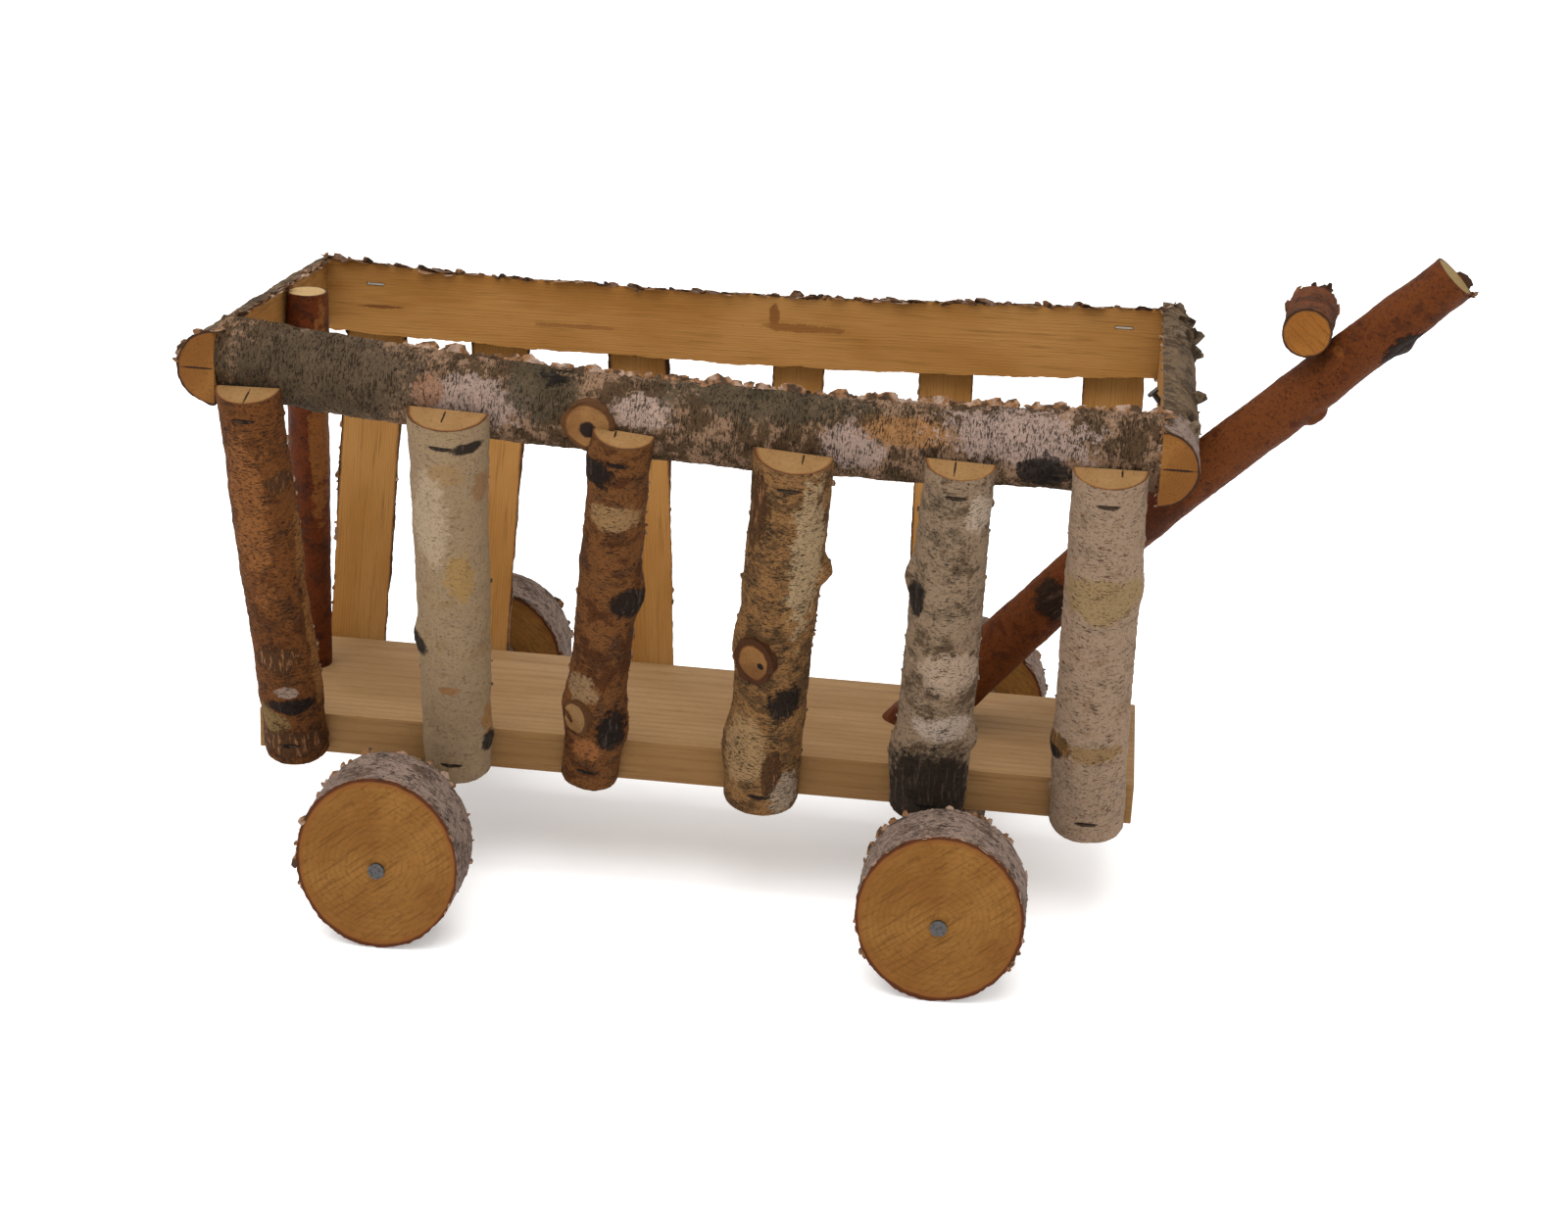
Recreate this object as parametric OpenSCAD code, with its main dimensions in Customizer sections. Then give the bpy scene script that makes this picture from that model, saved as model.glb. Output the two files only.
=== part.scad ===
// Rustic hand cart of birch branches: a plank floor on two axle beams, four
// log-slice wheels on nails, leaning half-round slats, a rim of half-round rails,
// one corner post and a slanting branch handle with a crossbar.
// Millimetres. X runs along the cart towards the handle, Y across it, Z up.
// The origin is on the ground under the middle of the overall length.

/* [Floor board] */
// Length of the floor board
board_l = 497; // [470:1:620]
// Width of the floor board
board_w = 118.4; // [96:0.1:150]
// Thickness of the floor board
board_t = 24; // [20:0.5:29]
// Height of the board's underside above the ground
board_z = 65.8; // [62:0.1:80]
// How far the board's middle stands ahead of the rim's middle
board_dx = 3; // [0:0.5:6]

/* [Rim of rails] */
// Length of the rim between the end rails' flat faces
rim_l = 495; // [420:1:600]
// Width of the rim between the side rails' flat faces
rim_w = 205.2; // [180:0.1:246]
// Radius of the side rails' bark side
side_rail_r = 22.5; // [19:0.1:27]
// How far the side rails' flat face is sawn past the branch's axis
side_rail_sawn = 2; // [0:0.1:4]
// Radius of the end rails' bark side
end_rail_r = 21; // [17.5:0.1:25]
// How far the end rails' flat face is sawn past the branch's axis
end_rail_sawn = 0.5; // [0:0.1:3]
// How far the rear end rail reaches past the side rails' flat faces
rear_overhang = 19.7; // [17:0.1:24]
// How far the front end rail reaches past the side rails' flat faces
front_overhang = 22.4; // [18:0.1:27]
// Height of the near rail's axis at its rear and front ends
near_rail_z = [311.5, 296.5]; // [250:1:380]
// How far the near rail sags between its ends
near_rail_sag = 11; // [4:0.1:16]
// Height of the far rail's axis at its rear and front ends
far_rail_z = [291.5, 299]; // [250:1:380]
// How far the far rail sags between its ends
far_rail_sag = 6.5; // [4:0.1:16]
// Height of the rear end rail's axis at its near and far ends
rear_rail_z = [308, 290]; // [250:1:380]
// Height of the front end rail's axis at its near and far ends
front_rail_z = [293.7, 298]; // [250:1:380]

/* [Slats] */
// Middle of each near slat's top along the rim
near_top_x = [-229, -122, -29, 60.2, 146, 222.5]; // [-235:1:235]
// Middle of each near slat's foot along the rim
near_foot_x = [-222.5, -129.6, -53.9, 43.6, 137.4, 226.6]; // [-235:1:235]
// Width of each near slat at its top
near_top_w = [36.7, 44.2, 34, 43.2, 38.5, 40.9]; // [30:0.1:50]
// Width of each near slat at its foot
near_foot_w = [38.3, 39.6, 33.1, 43.2, 43.8, 43]; // [30:0.1:50]
// How far each near slat's top stands above the rail's axis there
near_top_up = [-8, -2, -2, -4.5, -2.5, -2.5]; // [-15:0.5:10]
// Middle of each far slat's top along the rim
far_top_x = [-221, -144.5, -64.3, 36, 123, 223]; // [-235:1:235]
// Middle of each far slat's foot along the rim
far_foot_x = [-220.5, -145, -39.4, 38, 131, 225]; // [-235:1:235]
// Width of each far slat at its top
far_top_w = [39, 37, 40, 32, 34, 38.5]; // [30:0.1:50]
// Width of each far slat at its foot
far_foot_w = [36, 36, 32, 33, 34, 39]; // [30:0.1:50]
// How far each far slat's top stands above the rail's axis there
far_top_up = [2, 1, 3, 0, 2, 1]; // [-15:0.5:10]
// How far each slat's foot stands above the board's underside
slat_foot_up = [3.2, 1.2, 2.2, 0, 4.2, 0.5]; // [0:0.1:8]

/* [Post] */
// Diameter of the corner post
post_d = 24.5; // [18:0.5:30]
// Height of the post's top above the ground
post_top_z = 316; // [260:1:390]
// How far the post stands off the cart's middle line
post_y = 15; // [-60:1:60]

/* [Handle] */
// Radius of the handle at its foot
handle_foot_r = 17; // [14:0.1:20]
// Radius of the handle at its bend
handle_bend_r = 15.2; // [12.5:0.1:18]
// Radius of the handle at its tip
handle_tip_r = 14; // [11.5:0.1:17]
// Slope of the handle below its bend
handle_low_slope = 50; // [42:0.5:58]
// Slope of the handle above its bend
handle_top_slope = 44.8; // [38:0.2:52]
// Length of the handle below its bend
handle_low_l = 188; // [160:1:225]
// Length of the handle above its bend
handle_top_l = 207.6; // [173:0.1:249]
// How far the handle's foot stands off the cart's middle line
handle_foot_y = 8; // [-15:1:15]
// How far the handle turns towards the near side, in degrees
handle_turn = 6.5; // [0:0.5:9]
// Gap that the knuckle bridges between the handle and the front end rail
knuckle_reach = 8.4; // [4:0.1:11]
// Radius of the knuckle
knuckle_r = 15; // [13:0.1:17]
// Direction from the rail's axis down to the knuckle, in degrees below level
knuckle_dip = 50.7; // [45:0.1:56]
// Diameter of the crossbar
crossbar_d = 27.4; // [22:0.1:33]
// Length of the crossbar
crossbar_l = 52; // [40:1:90]
// Distance of the crossbar up the handle from its bend
crossbar_up = 134; // [115:1:160]

/* [Wheels and axles] */
// Distance of the axles behind and ahead of the rim's middle
axle_x = [-150.7, 152.8]; // [-190:0.1:190]
// Mean radius of the rear and the front wheels
wheel_r = [48.7, 48]; // [42:0.1:52]
// How far the rear and front wheels are taller than round
wheel_tall = [2.8, 1.6]; // [0:0.1:3.5]
// How far the rear and front hubs lie below the middle of their wheels
hub_low = [3.7, 4.6]; // [0:0.1:6]
// How far the outlines are fuller between their quarters
wheel_full = 0.7; // [0:0.05:1]
// Thickness of the wheels
wheel_t = 35.8; // [28:0.1:43]
// Width over the wheels' outer faces
track_w = 330.6; // [310:0.1:390]
// Gap between a wheel and its beam
wheel_gap = 1; // [0.5:0.1:2]
// Radius of the axle beams
beam_r = 18; // [17:0.1:21]
// Height of the beams' flat seat above their middle
beam_flat = 13; // [11:0.1:14]
// How far the beams are cut down outside the board, under the slats' feet
beam_shoulder = 8; // [6:0.5:11]

/* [Fasteners] */
// Diameter of the wheel nails
wheel_nail_d = 5; // [4:0.1:6]
// Length of the wheel nails
wheel_nail_l = 90; // [75:1:100]
// Diameter of the wheel nails' heads
wheel_nail_head = 9; // [8:0.1:11]
// Thickness of the nail heads
nail_head_t = 1.5; // [1:0.1:2]
// Play between a wheel and its nail's head
nail_play = 0.3; // [0.2:0.1:1]
// Diameter of the joining nails
nail_d = 3.1; // [2.5:0.1:4]
// Diameter of the joining nails' heads
nail_head = 6.5; // [5:0.1:8]
// Length of the joining nails
nail_l = 60; // [52:1:70]
// Diameter of the wood screws
screw_d = 4; // [3:0.1:5]
// Diameter of the wood screws' heads
screw_head = 8; // [7:0.1:9]
// Length of the beam screws
beam_screw_l = 38; // [34:1:42]
// Length of the screws up through the board
board_screw_l = 60; // [50:1:70]
// Width of the staples
staple_w = 10; // [8:0.1:12]
// Length of the staples' legs
staple_leg = 30; // [27:1:34]
// Length of the far rail's staples' legs
rail_staple_leg = 14; // [10:0.5:16]
// Thickness of the staples' wire
staple_wire = 1.2; // [0.8:0.1:1.6]
// How far the staples are driven below the bark
staple_sunk = 1; // [0.5:0.1:2]
// Distance of the top staples below the slats' tops
staple_top = 11; // [8:0.5:14]
// Distance of the foot staples above the slats' feet
staple_foot = 13; // [10:0.5:15]

/* [Fits] */
// Gap left where round wood bears on other wood
seat_gap = 0.1; // [0.05:0.01:0.3]
// Radial clearance of a driven nail, screw or staple in its hole
driven_fit = 0.03; // [0.01:0.01:0.05]
// Radial clearance of a wheel on its nail
running_fit = 0.07; // [0.03:0.01:0.1]

/* [Hidden] */

$fn = 64;
NEAR = -1;
FAR = 1;
REAR = 0;
FRONT = 1;
reach = 400; // larger than any piece, for cutting blocks
wheel_sides = 48;

board_top = board_z + board_t;
board_half = board_w / 2;
rim_half = rim_l / 2;
rim_y = rim_w / 2;

// Handle directions: below and above its bend.
handle_low_dir = slope_dir(handle_low_slope);
handle_top_dir = slope_dir(handle_top_slope);

// The handle passes under the front end rail with its knuckle between them.
front_rail_x = rim_half + seat_gap - end_rail_sawn;
front_rail_mid = (front_rail_z[0] + front_rail_z[1]) / 2;
axes_apart = end_rail_r + handle_bend_r + knuckle_reach;
bend_rise = handle_low_l * sin(handle_low_slope);
bend_run = handle_low_l * cos(handle_low_slope);
rail_past_bend = ((front_rail_mid - board_top - bend_rise) * cos(handle_top_slope)
    - axes_apart) / sin(handle_top_slope);
handle_foot_x = front_rail_x - (bend_run + rail_past_bend) * cos(handle_turn);

// The middle of the overall length is the origin, so the rim stands off it.
tip_rel_x = handle_foot_x + handle_low_l * handle_low_dir.x
    + handle_top_l * handle_top_dir.x
    + handle_tip_r * sqrt(1 - pow(handle_top_dir.x, 2));
rear_rel_x = -rim_half - seat_gap + end_rail_sawn - end_rail_r;
rim_x = -(tip_rel_x + rear_rel_x) / 2;

handle_foot = [rim_x + handle_foot_x, handle_foot_y, board_top];
handle_bend = handle_foot + handle_low_l * handle_low_dir;
handle_tip = handle_bend + handle_top_l * handle_top_dir;

knuckle_off = end_rail_r + knuckle_r + seat_gap;
knuckle_x = rim_x + front_rail_x + knuckle_off * cos(knuckle_dip);
knuckle_y = handle_foot_y - (knuckle_x - handle_foot.x) * tan(handle_turn);
knuckle = [knuckle_x, knuckle_y,
    end_rail_axis_z(front_rail_z, front_overhang, knuckle_y)
        - knuckle_off * sin(knuckle_dip)];

// The crossbar lies across the top of the handle.
crossbar_seat_r = handle_bend_r
    + (handle_tip_r - handle_bend_r) * crossbar_up / handle_top_l;
across = [sin(handle_turn), cos(handle_turn), 0];
handle_up = cross(handle_top_dir, across);
crossbar_off = crossbar_seat_r + crossbar_d / 2 + seat_gap;
crossbar_mid = handle_bend + crossbar_up * handle_top_dir + crossbar_off * handle_up;

post_x = rim_x - rim_half + post_d / 2;

wheel_y = track_w / 2;
beam_half = wheel_y - wheel_t - wheel_gap;
beam_z = board_z - beam_flat;

// Unit vector up the handle at a slope, turned towards the near side.
function slope_dir(slope) = [
    cos(slope) * cos(handle_turn), -cos(slope) * sin(handle_turn), sin(slope)];

// Distance from a wheel's hub to the line that touches it, a degrees from straight down.
function wheel_reach(end, a) = wheel_r[end] + wheel_tall[end] * cos(2 * a)
    - hub_low[end] * cos(a) - wheel_full * cos(4 * a);

function hub_z(end) = wheel_reach(end, 0);
function hub_at(end, side) = [rim_x + axle_x[end], side * wheel_y, hub_z(end)];

// Height of a bent side rail's axis at a place along the rim.
function side_rail_axis_z(side, x) = (rail_z(side)[0] + rail_z(side)[1]) / 2
    + (rail_z(side)[1] - rail_z(side)[0]) / 2 * x / rim_half
    - rail_sag(side) * (1 - pow(x / rim_half, 2));

// Height of an end rail's axis at a place across the cart.
function end_rail_axis_z(z, overhang, y) =
    z[0] + (z[1] - z[0]) * (y + rim_y + overhang) / (2 * (rim_y + overhang));

function rail_z(side) = side == NEAR ? near_rail_z : far_rail_z;
function rail_sag(side) = side == NEAR ? near_rail_sag : far_rail_sag;
function top_x(side, i) = side == NEAR ? near_top_x[i] : far_top_x[i];
function foot_x(side, i) = side == NEAR ? near_foot_x[i] : far_foot_x[i];
function top_w(side, i) = side == NEAR ? near_top_w[i] : far_top_w[i];
function foot_w(side, i) = side == NEAR ? near_foot_w[i] : far_foot_w[i];
function top_up(side, i) = side == NEAR ? near_top_up[i] : far_top_up[i];

// A slat leans from the board's edge to the round outside of its side rail.
function slat_foot_z(i) = board_z + slat_foot_up[i];
function lean_y() = rim_y - side_rail_sawn - board_half - seat_gap;
function lean_z(side, i) = min([for (edge = [-0.5, 0.5])
    side_rail_axis_z(side, top_x(side, i) + edge * top_w(side, i))]) - slat_foot_z(i);
function slat_lean(side, i) = atan2(lean_y(), lean_z(side, i))
    + asin((side_rail_r + 2 * seat_gap) / norm([lean_y(), lean_z(side, i)]));
function slat_l(side, i) =
    (lean_z(side, i) + top_up(side, i)) / cos(slat_lean(side, i));
function slat_x(side, i, up) = rim_x + foot_x(side, i)
    + (top_x(side, i) - foot_x(side, i)) * up / slat_l(side, i);
function slat_r(side, i, up) = foot_w(side, i) / 2
    + (top_w(side, i) - foot_w(side, i)) / 2 * up / slat_l(side, i);

// A straight stretch of branch from one point to another.
module limb(from, to, r_from, r_to) {
    run = to - from;
    translate(from)
        rotate([0, acos(run.z / norm(run)), atan2(run.y, run.x)])
            cylinder(h = norm(run), r1 = r_from, r2 = r_to);
}

// A round fastener from its head's outer face inwards; a hole for one opens outwards.
module driven(head, dir, l, d, head_d, grow = 0, open = 0) {
    limb(head - dir * open, head + dir * (nail_head_t + grow),
        head_d / 2 + grow, head_d / 2 + grow);
    limb(head, head + dir * (l + grow), d / 2 + grow, d / 2 + grow);
}

// A staple with its crown along X and its legs along -Y; a slot for one opens outwards.
module staple(grow = 0, open = 0, leg = staple_leg) {
    wire = staple_wire + 2 * grow;
    translate([-staple_w / 2 - grow, -staple_wire - grow, -wire / 2])
        cube([staple_w + 2 * grow, wire + open, wire]);
    for (end = [-1, 1])
        translate([end * (staple_w - staple_wire) / 2 - wire / 2,
            -leg - grow, -wire / 2])
            cube([wire, leg, wire]);
}

// Stands its children in a slat's own frame: foot at the origin, flat face on y = 0.
module slat_frame(side, i) {
    mirror([0, side == NEAR ? 1 : 0, 0])
        translate([0, board_half + seat_gap, slat_foot_z(i)])
            rotate([-slat_lean(side, i), 0, 0])
                children();
}

module slat_staples(side, i, grow = 0, open = 0) {
    for (up = [staple_foot, slat_l(side, i) - staple_top])
        slat_frame(side, i)
            translate([slat_x(side, i, up), slat_r(side, i, up) - staple_sunk, up])
                staple(grow, open);
}

module all_slat_staples(side, grow = 0, open = 0) {
    for (i = [0:5])
        slat_staples(side, i, grow, open);
}

// Staples through the far rail's flat face into the first and the last slat.
module rail_staples(grow = 0, open = 0) {
    for (i = [0, 5])
        translate([rim_x + far_top_x[i] + 3, rim_y + staple_sunk - 0.5,
            side_rail_axis_z(FAR, far_top_x[i]) + 9])
            mirror([0, 1, 0])
                staple(grow, open, rail_staple_leg);
}

// Nails through the end rails into the ends of the side rails.
module corner_nails(grow = 0, open = 0) {
    for (end = [-1, 1], side = [NEAR, FAR]) {
        z = side_rail_axis_z(side, end * rim_half);
        y = side * (rim_y + side_rail_r / 2 - side_rail_sawn);
        driven([rim_x + end * (rim_half + end_rail_r - 3), y, z + 1],
            [-end, 0, 0], nail_l, nail_d, nail_head, grow, open);
    }
}

// The post is screwed up through the board and nailed through the rear end rail.
module post_fixings(grow = 0, open = 0) {
    driven([post_x, post_y, board_z], [0, 0, 1],
        board_screw_l, screw_d, screw_head, grow, open);
    driven([rim_x - rim_half - end_rail_r + 3, post_y,
            end_rail_axis_z(rear_rail_z, rear_overhang, post_y)],
        [1, 0, 0], end_rail_r + post_d / 2, nail_d, nail_head, grow, open);
}

// The handle is screwed up through the board and nailed through the front end rail.
module handle_fixings(grow = 0, open = 0) {
    driven([handle_foot.x + 4, handle_foot.y, board_z], [0, 0, 1],
        board_screw_l - 10, screw_d, screw_head, grow, open);
    nail_dir = [cos(knuckle_dip), 0, -sin(knuckle_dip)];
    driven(knuckle - nail_dir * (knuckle_off + end_rail_r / 3), nail_dir,
        nail_l, nail_d, nail_head, grow, open);
}

module crossbar_fixing(grow = 0, open = 0) {
    driven(crossbar_mid + (crossbar_d / 2 - 2) * handle_up, -handle_up,
        crossbar_d + handle_tip_r - 4, nail_d, nail_head, grow, open);
}

// Each beam is screwed up into the board beside its middle.
module beam_fixings(grow = 0, open = 0) {
    for (end = [REAR, FRONT], side = [NEAR, FAR])
        driven([rim_x + axle_x[end], side * board_half / 2, beam_z - beam_r + 1],
            [0, 0, 1], beam_screw_l, screw_d, screw_head, grow, open);
}

module wheel_nail(end, side, grow = 0, open = 0) {
    driven(hub_at(end, side) + [0, side * (nail_play + nail_head_t), 0], [0, -side, 0],
        wheel_nail_l, wheel_nail_d, wheel_nail_head, grow, open);
}

module floor_board() {
    color("burlywood")
        difference() {
            translate([rim_x + board_dx - board_l / 2, -board_half, board_z])
                cube([board_l, board_w, board_t]);
            all_slat_staples(NEAR, driven_fit);
            all_slat_staples(FAR, driven_fit);
            beam_fixings(driven_fit);
            post_fixings(driven_fit, 1);
            handle_fixings(driven_fit, 1);
        }
}

module axle_beam(end) {
    color("tan")
        difference() {
            translate([rim_x + axle_x[end], -beam_half, beam_z])
                rotate([-90, 0, 0])
                    cylinder(h = 2 * beam_half, r = beam_r);
            translate([rim_x + axle_x[end] - beam_r - 1, -beam_half - 1, board_z])
                cube([2 * beam_r + 2, 2 * beam_half + 2, beam_r]);
            for (side = [NEAR, FAR])
                translate([rim_x + axle_x[end] - beam_r - 1,
                    side > 0 ? board_half : -board_half - reach, board_z - beam_shoulder])
                    cube([2 * beam_r + 2, reach, beam_r]);
            wheel_nail(end, NEAR, driven_fit);
            wheel_nail(end, FAR, driven_fit);
            beam_fixings(driven_fit, 3);
        }
}

// A log slice: every side of its outline touches the oval that wheel_reach gives.
module wheel(end, side) {
    step = 360 / wheel_sides;
    corners = [for (k = [0:wheel_sides - 1])
        let (a = k * step, h0 = wheel_reach(end, a), h1 = wheel_reach(end, a + step),
            along = (h1 - h0 * cos(step)) / sin(step))
        [h0 * sin(a) + along * cos(a), -h0 * cos(a) + along * sin(a)]];
    color("peru")
        difference() {
            translate(hub_at(end, side) + [0, side == NEAR ? wheel_t : 0, 0])
                rotate([90, 0, 0])
                    linear_extrude(wheel_t)
                        polygon(corners);
            translate(hub_at(end, side) + [0, wheel_t + 1, 0])
                rotate([90, 0, 0])
                    cylinder(h = 2 * wheel_t + 2, r = wheel_nail_d / 2 + running_fit);
        }
}

// A half-round rail that sags between its ends, flat face inwards.
module side_rail(side) {
    ends_z = rail_z(side);
    sag = rail_sag(side);
    tilt = atan2(ends_z[1] - ends_z[0], rim_l);
    bend_r = (pow(rim_half, 2) + pow(sag, 2)) / (2 * sag);
    half_turn = asin(rim_half / bend_r) + 1;
    color("darkkhaki")
        difference() {
            translate([rim_x, side * rim_y, (ends_z[0] + ends_z[1]) / 2 - sag])
                rotate([0, -tilt, 0])
                    translate([0, 0, bend_r])
                        mirror([0, side == NEAR ? 0 : 1, 0])
                            rotate([90, 0, 0])
                                rotate([0, 0, -90 - half_turn])
                                    rotate_extrude(angle = 2 * half_turn, $fn = 2400)
                                        rail_section(bend_r);
            for (end = [-1, 1])
                translate([rim_x + end * (rim_half + reach / 2) - reach / 2, -reach / 2, 0])
                    cube(reach);
            all_slat_staples(side, driven_fit);
            corner_nails(driven_fit);
            if (side == FAR)
                rail_staples(driven_fit, 2);
        }
}

// The half-round section of a side rail, sawn on the line y = 0.
module rail_section(from_centre) {
    intersection() {
        translate([from_centre, -side_rail_sawn]) circle(r = side_rail_r, $fn = 64);
        translate([from_centre - side_rail_r - 1, 0])
            square([2 * side_rail_r + 2, side_rail_r]);
    }
}

// A half-round rail across one end of the rim, flat face against the side rails.
module end_rail(end, z, overhang) {
    half = rim_y + overhang;
    x = rim_x + end * (rim_half + seat_gap - end_rail_sawn);
    near_end = [x, -half, z[0]];
    far_end = [x, half, z[1]];
    past = (far_end - near_end) / 10;
    color("rosybrown")
        difference() {
            intersection() {
                limb(near_end - past, far_end + past, end_rail_r, end_rail_r);
                translate([end < 0 ? rim_x - rim_half - seat_gap - reach
                    : rim_x + rim_half + seat_gap, -half, 0])
                    cube([reach, 2 * half, reach]);
            }
            corner_nails(driven_fit, end_rail_r);
            if (end < 0)
                post_fixings(driven_fit, end_rail_r);
            else
                handle_fixings(driven_fit, end_rail_r);
        }
}

module slat(side, i) {
    l = slat_l(side, i);
    past = l / 10;
    color(side == NEAR ? "wheat" : "sandybrown")
        difference() {
            slat_frame(side, i)
                intersection() {
                    limb([slat_x(side, i, -past), 0, -past],
                        [slat_x(side, i, l + past), 0, l + past],
                        slat_r(side, i, -past), slat_r(side, i, l + past));
                    translate([-reach, 0, 0]) cube([2 * reach, reach, l]);
                }
            slat_staples(side, i, driven_fit, 5);
            if (side == FAR)
                rail_staples(driven_fit);
        }
}

module corner_post() {
    color("saddlebrown")
        difference() {
            translate([post_x, post_y, board_top])
                cylinder(h = post_top_z - board_top, d = post_d);
            post_fixings(driven_fit);
        }
}

module handle() {
    color("sienna")
        difference() {
            union() {
                difference() {
                    limb(handle_foot - handle_low_dir * handle_low_l / 5, handle_bend,
                        handle_foot_r + (handle_foot_r - handle_bend_r) / 5, handle_bend_r);
                    translate([handle_foot.x - reach / 2, -reach / 2, board_top - reach])
                        cube(reach);
                }
                limb(handle_bend, handle_tip, handle_bend_r, handle_tip_r);
                translate(handle_bend) sphere(r = handle_bend_r + 0.3);
                translate(knuckle) sphere(r = knuckle_r);
            }
            handle_fixings(driven_fit);
            crossbar_fixing(driven_fit);
        }
}

module crossbar() {
    half = crossbar_l / 2 * across;
    color("indianred")
        difference() {
            limb(crossbar_mid - half, crossbar_mid + half, crossbar_d / 2, crossbar_d / 2);
            crossbar_fixing(driven_fit, 5);
        }
}

module rear_axle_beam() axle_beam(REAR);
module front_axle_beam() axle_beam(FRONT);
module rear_near_wheel() wheel(REAR, NEAR);
module rear_far_wheel() wheel(REAR, FAR);
module front_near_wheel() wheel(FRONT, NEAR);
module front_far_wheel() wheel(FRONT, FAR);
module rear_near_wheel_nail() color("dimgray") wheel_nail(REAR, NEAR);
module rear_far_wheel_nail() color("dimgray") wheel_nail(REAR, FAR);
module front_near_wheel_nail() color("dimgray") wheel_nail(FRONT, NEAR);
module front_far_wheel_nail() color("dimgray") wheel_nail(FRONT, FAR);
module near_rail() side_rail(NEAR);
module far_rail() side_rail(FAR);
module rear_end_rail() end_rail(-1, rear_rail_z, rear_overhang);
module front_end_rail() end_rail(1, front_rail_z, front_overhang);
module near_slat_1() slat(NEAR, 0);
module near_slat_2() slat(NEAR, 1);
module near_slat_3() slat(NEAR, 2);
module near_slat_4() slat(NEAR, 3);
module near_slat_5() slat(NEAR, 4);
module near_slat_6() slat(NEAR, 5);
module far_slat_1() slat(FAR, 0);
module far_slat_2() slat(FAR, 1);
module far_slat_3() slat(FAR, 2);
module far_slat_4() slat(FAR, 3);
module far_slat_5() slat(FAR, 4);
module far_slat_6() slat(FAR, 5);
module near_slat_staples() color("silver") all_slat_staples(NEAR);
module far_slat_staples() color("silver") all_slat_staples(FAR);
module far_rail_staples() color("silver") rail_staples();
module end_rail_nails() color("gray") corner_nails();
module post_fasteners() color("gray") post_fixings();
module handle_fasteners() color("gray") handle_fixings();
module crossbar_nail() color("gray") crossbar_fixing();
module beam_screws() color("gray") beam_fixings();

floor_board();
rear_axle_beam();
front_axle_beam();
rear_near_wheel();
rear_far_wheel();
front_near_wheel();
front_far_wheel();
rear_near_wheel_nail();
rear_far_wheel_nail();
front_near_wheel_nail();
front_far_wheel_nail();
near_rail();
far_rail();
rear_end_rail();
front_end_rail();
near_slat_1();
near_slat_2();
near_slat_3();
near_slat_4();
near_slat_5();
near_slat_6();
far_slat_1();
far_slat_2();
far_slat_3();
far_slat_4();
far_slat_5();
far_slat_6();
corner_post();
handle();
crossbar();
near_slat_staples();
far_slat_staples();
far_rail_staples();
end_rail_nails();
post_fasteners();
handle_fasteners();
crossbar_nail();
beam_screws();
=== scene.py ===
import math
import random

import bpy
from mathutils import Matrix, Vector


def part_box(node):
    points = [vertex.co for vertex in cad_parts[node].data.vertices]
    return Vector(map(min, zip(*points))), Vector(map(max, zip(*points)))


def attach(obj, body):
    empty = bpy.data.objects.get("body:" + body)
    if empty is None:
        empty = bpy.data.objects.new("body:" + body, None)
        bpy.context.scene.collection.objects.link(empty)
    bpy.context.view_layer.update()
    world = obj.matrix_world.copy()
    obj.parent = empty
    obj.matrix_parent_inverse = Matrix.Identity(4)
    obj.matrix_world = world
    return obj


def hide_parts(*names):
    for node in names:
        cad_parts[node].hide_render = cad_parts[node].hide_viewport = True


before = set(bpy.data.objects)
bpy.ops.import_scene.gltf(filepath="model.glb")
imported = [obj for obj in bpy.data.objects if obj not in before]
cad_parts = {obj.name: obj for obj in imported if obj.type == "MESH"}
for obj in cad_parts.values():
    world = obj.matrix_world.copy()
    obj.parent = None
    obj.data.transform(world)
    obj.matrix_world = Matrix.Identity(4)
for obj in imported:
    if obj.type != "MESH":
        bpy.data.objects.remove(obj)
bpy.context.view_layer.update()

MM = 0.001
X_AXIS = Vector((1, 0, 0))
Y_AXIS = Vector((0, 1, 0))
Z_AXIS = Vector((0, 0, 1))

# ---------------------------------------------------------------- sizes, repeated from the CAD source

# The middle of the frame of rails, along the cart.
RIM_X = -68.055 * MM

# Half-round side rails: the height of the axis at the rear and at the front, and how far the
# middle hangs.
SIDE_RAIL_RADIUS = 22.5 * MM
SIDE_RAIL_HALF = 247.5 * MM
SIDE_RAIL_FLAT_Y = 102.6 * MM
SIDE_RAIL_AXIS_Y = 100.6 * MM
NEAR_RAIL_HEIGHTS = (311.5 * MM, 296.5 * MM)
NEAR_RAIL_SAG = 11 * MM
FAR_RAIL_HEIGHTS = (291.5 * MM, 299 * MM)
FAR_RAIL_SAG = 6.5 * MM

# Half-round end rails: distances from the middle of the frame, and the height of the axis at the
# near and at the far end.
END_RAIL_RADIUS = 21 * MM
END_RAIL_FLAT = 247.6 * MM
END_RAIL_AXIS = 247.1 * MM
REAR_RAIL_HEIGHTS = (308 * MM, 290 * MM)
FRONT_RAIL_HEIGHTS = (293.7 * MM, 298 * MM)

# The handle, a branch with a slight bend, and the short bar nailed on it.
HANDLE_FOOT = Vector((59.8, 8, 89.8)) * MM
HANDLE_BEND = Vector((179.87, -5.68, 233.82)) * MM
HANDLE_TIP = Vector((326.23, -22.36, 380.1)) * MM
HANDLE_RADII = (17 * MM, 14 * MM)
HANDLE_TURN = math.radians(6.5)
CROSSBAR_MIDDLE = Vector((254.58, -14.19, 348.27)) * MM
CROSSBAR_LENGTH = 52 * MM
CROSSBAR_RADIUS = 13.7 * MM

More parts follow.
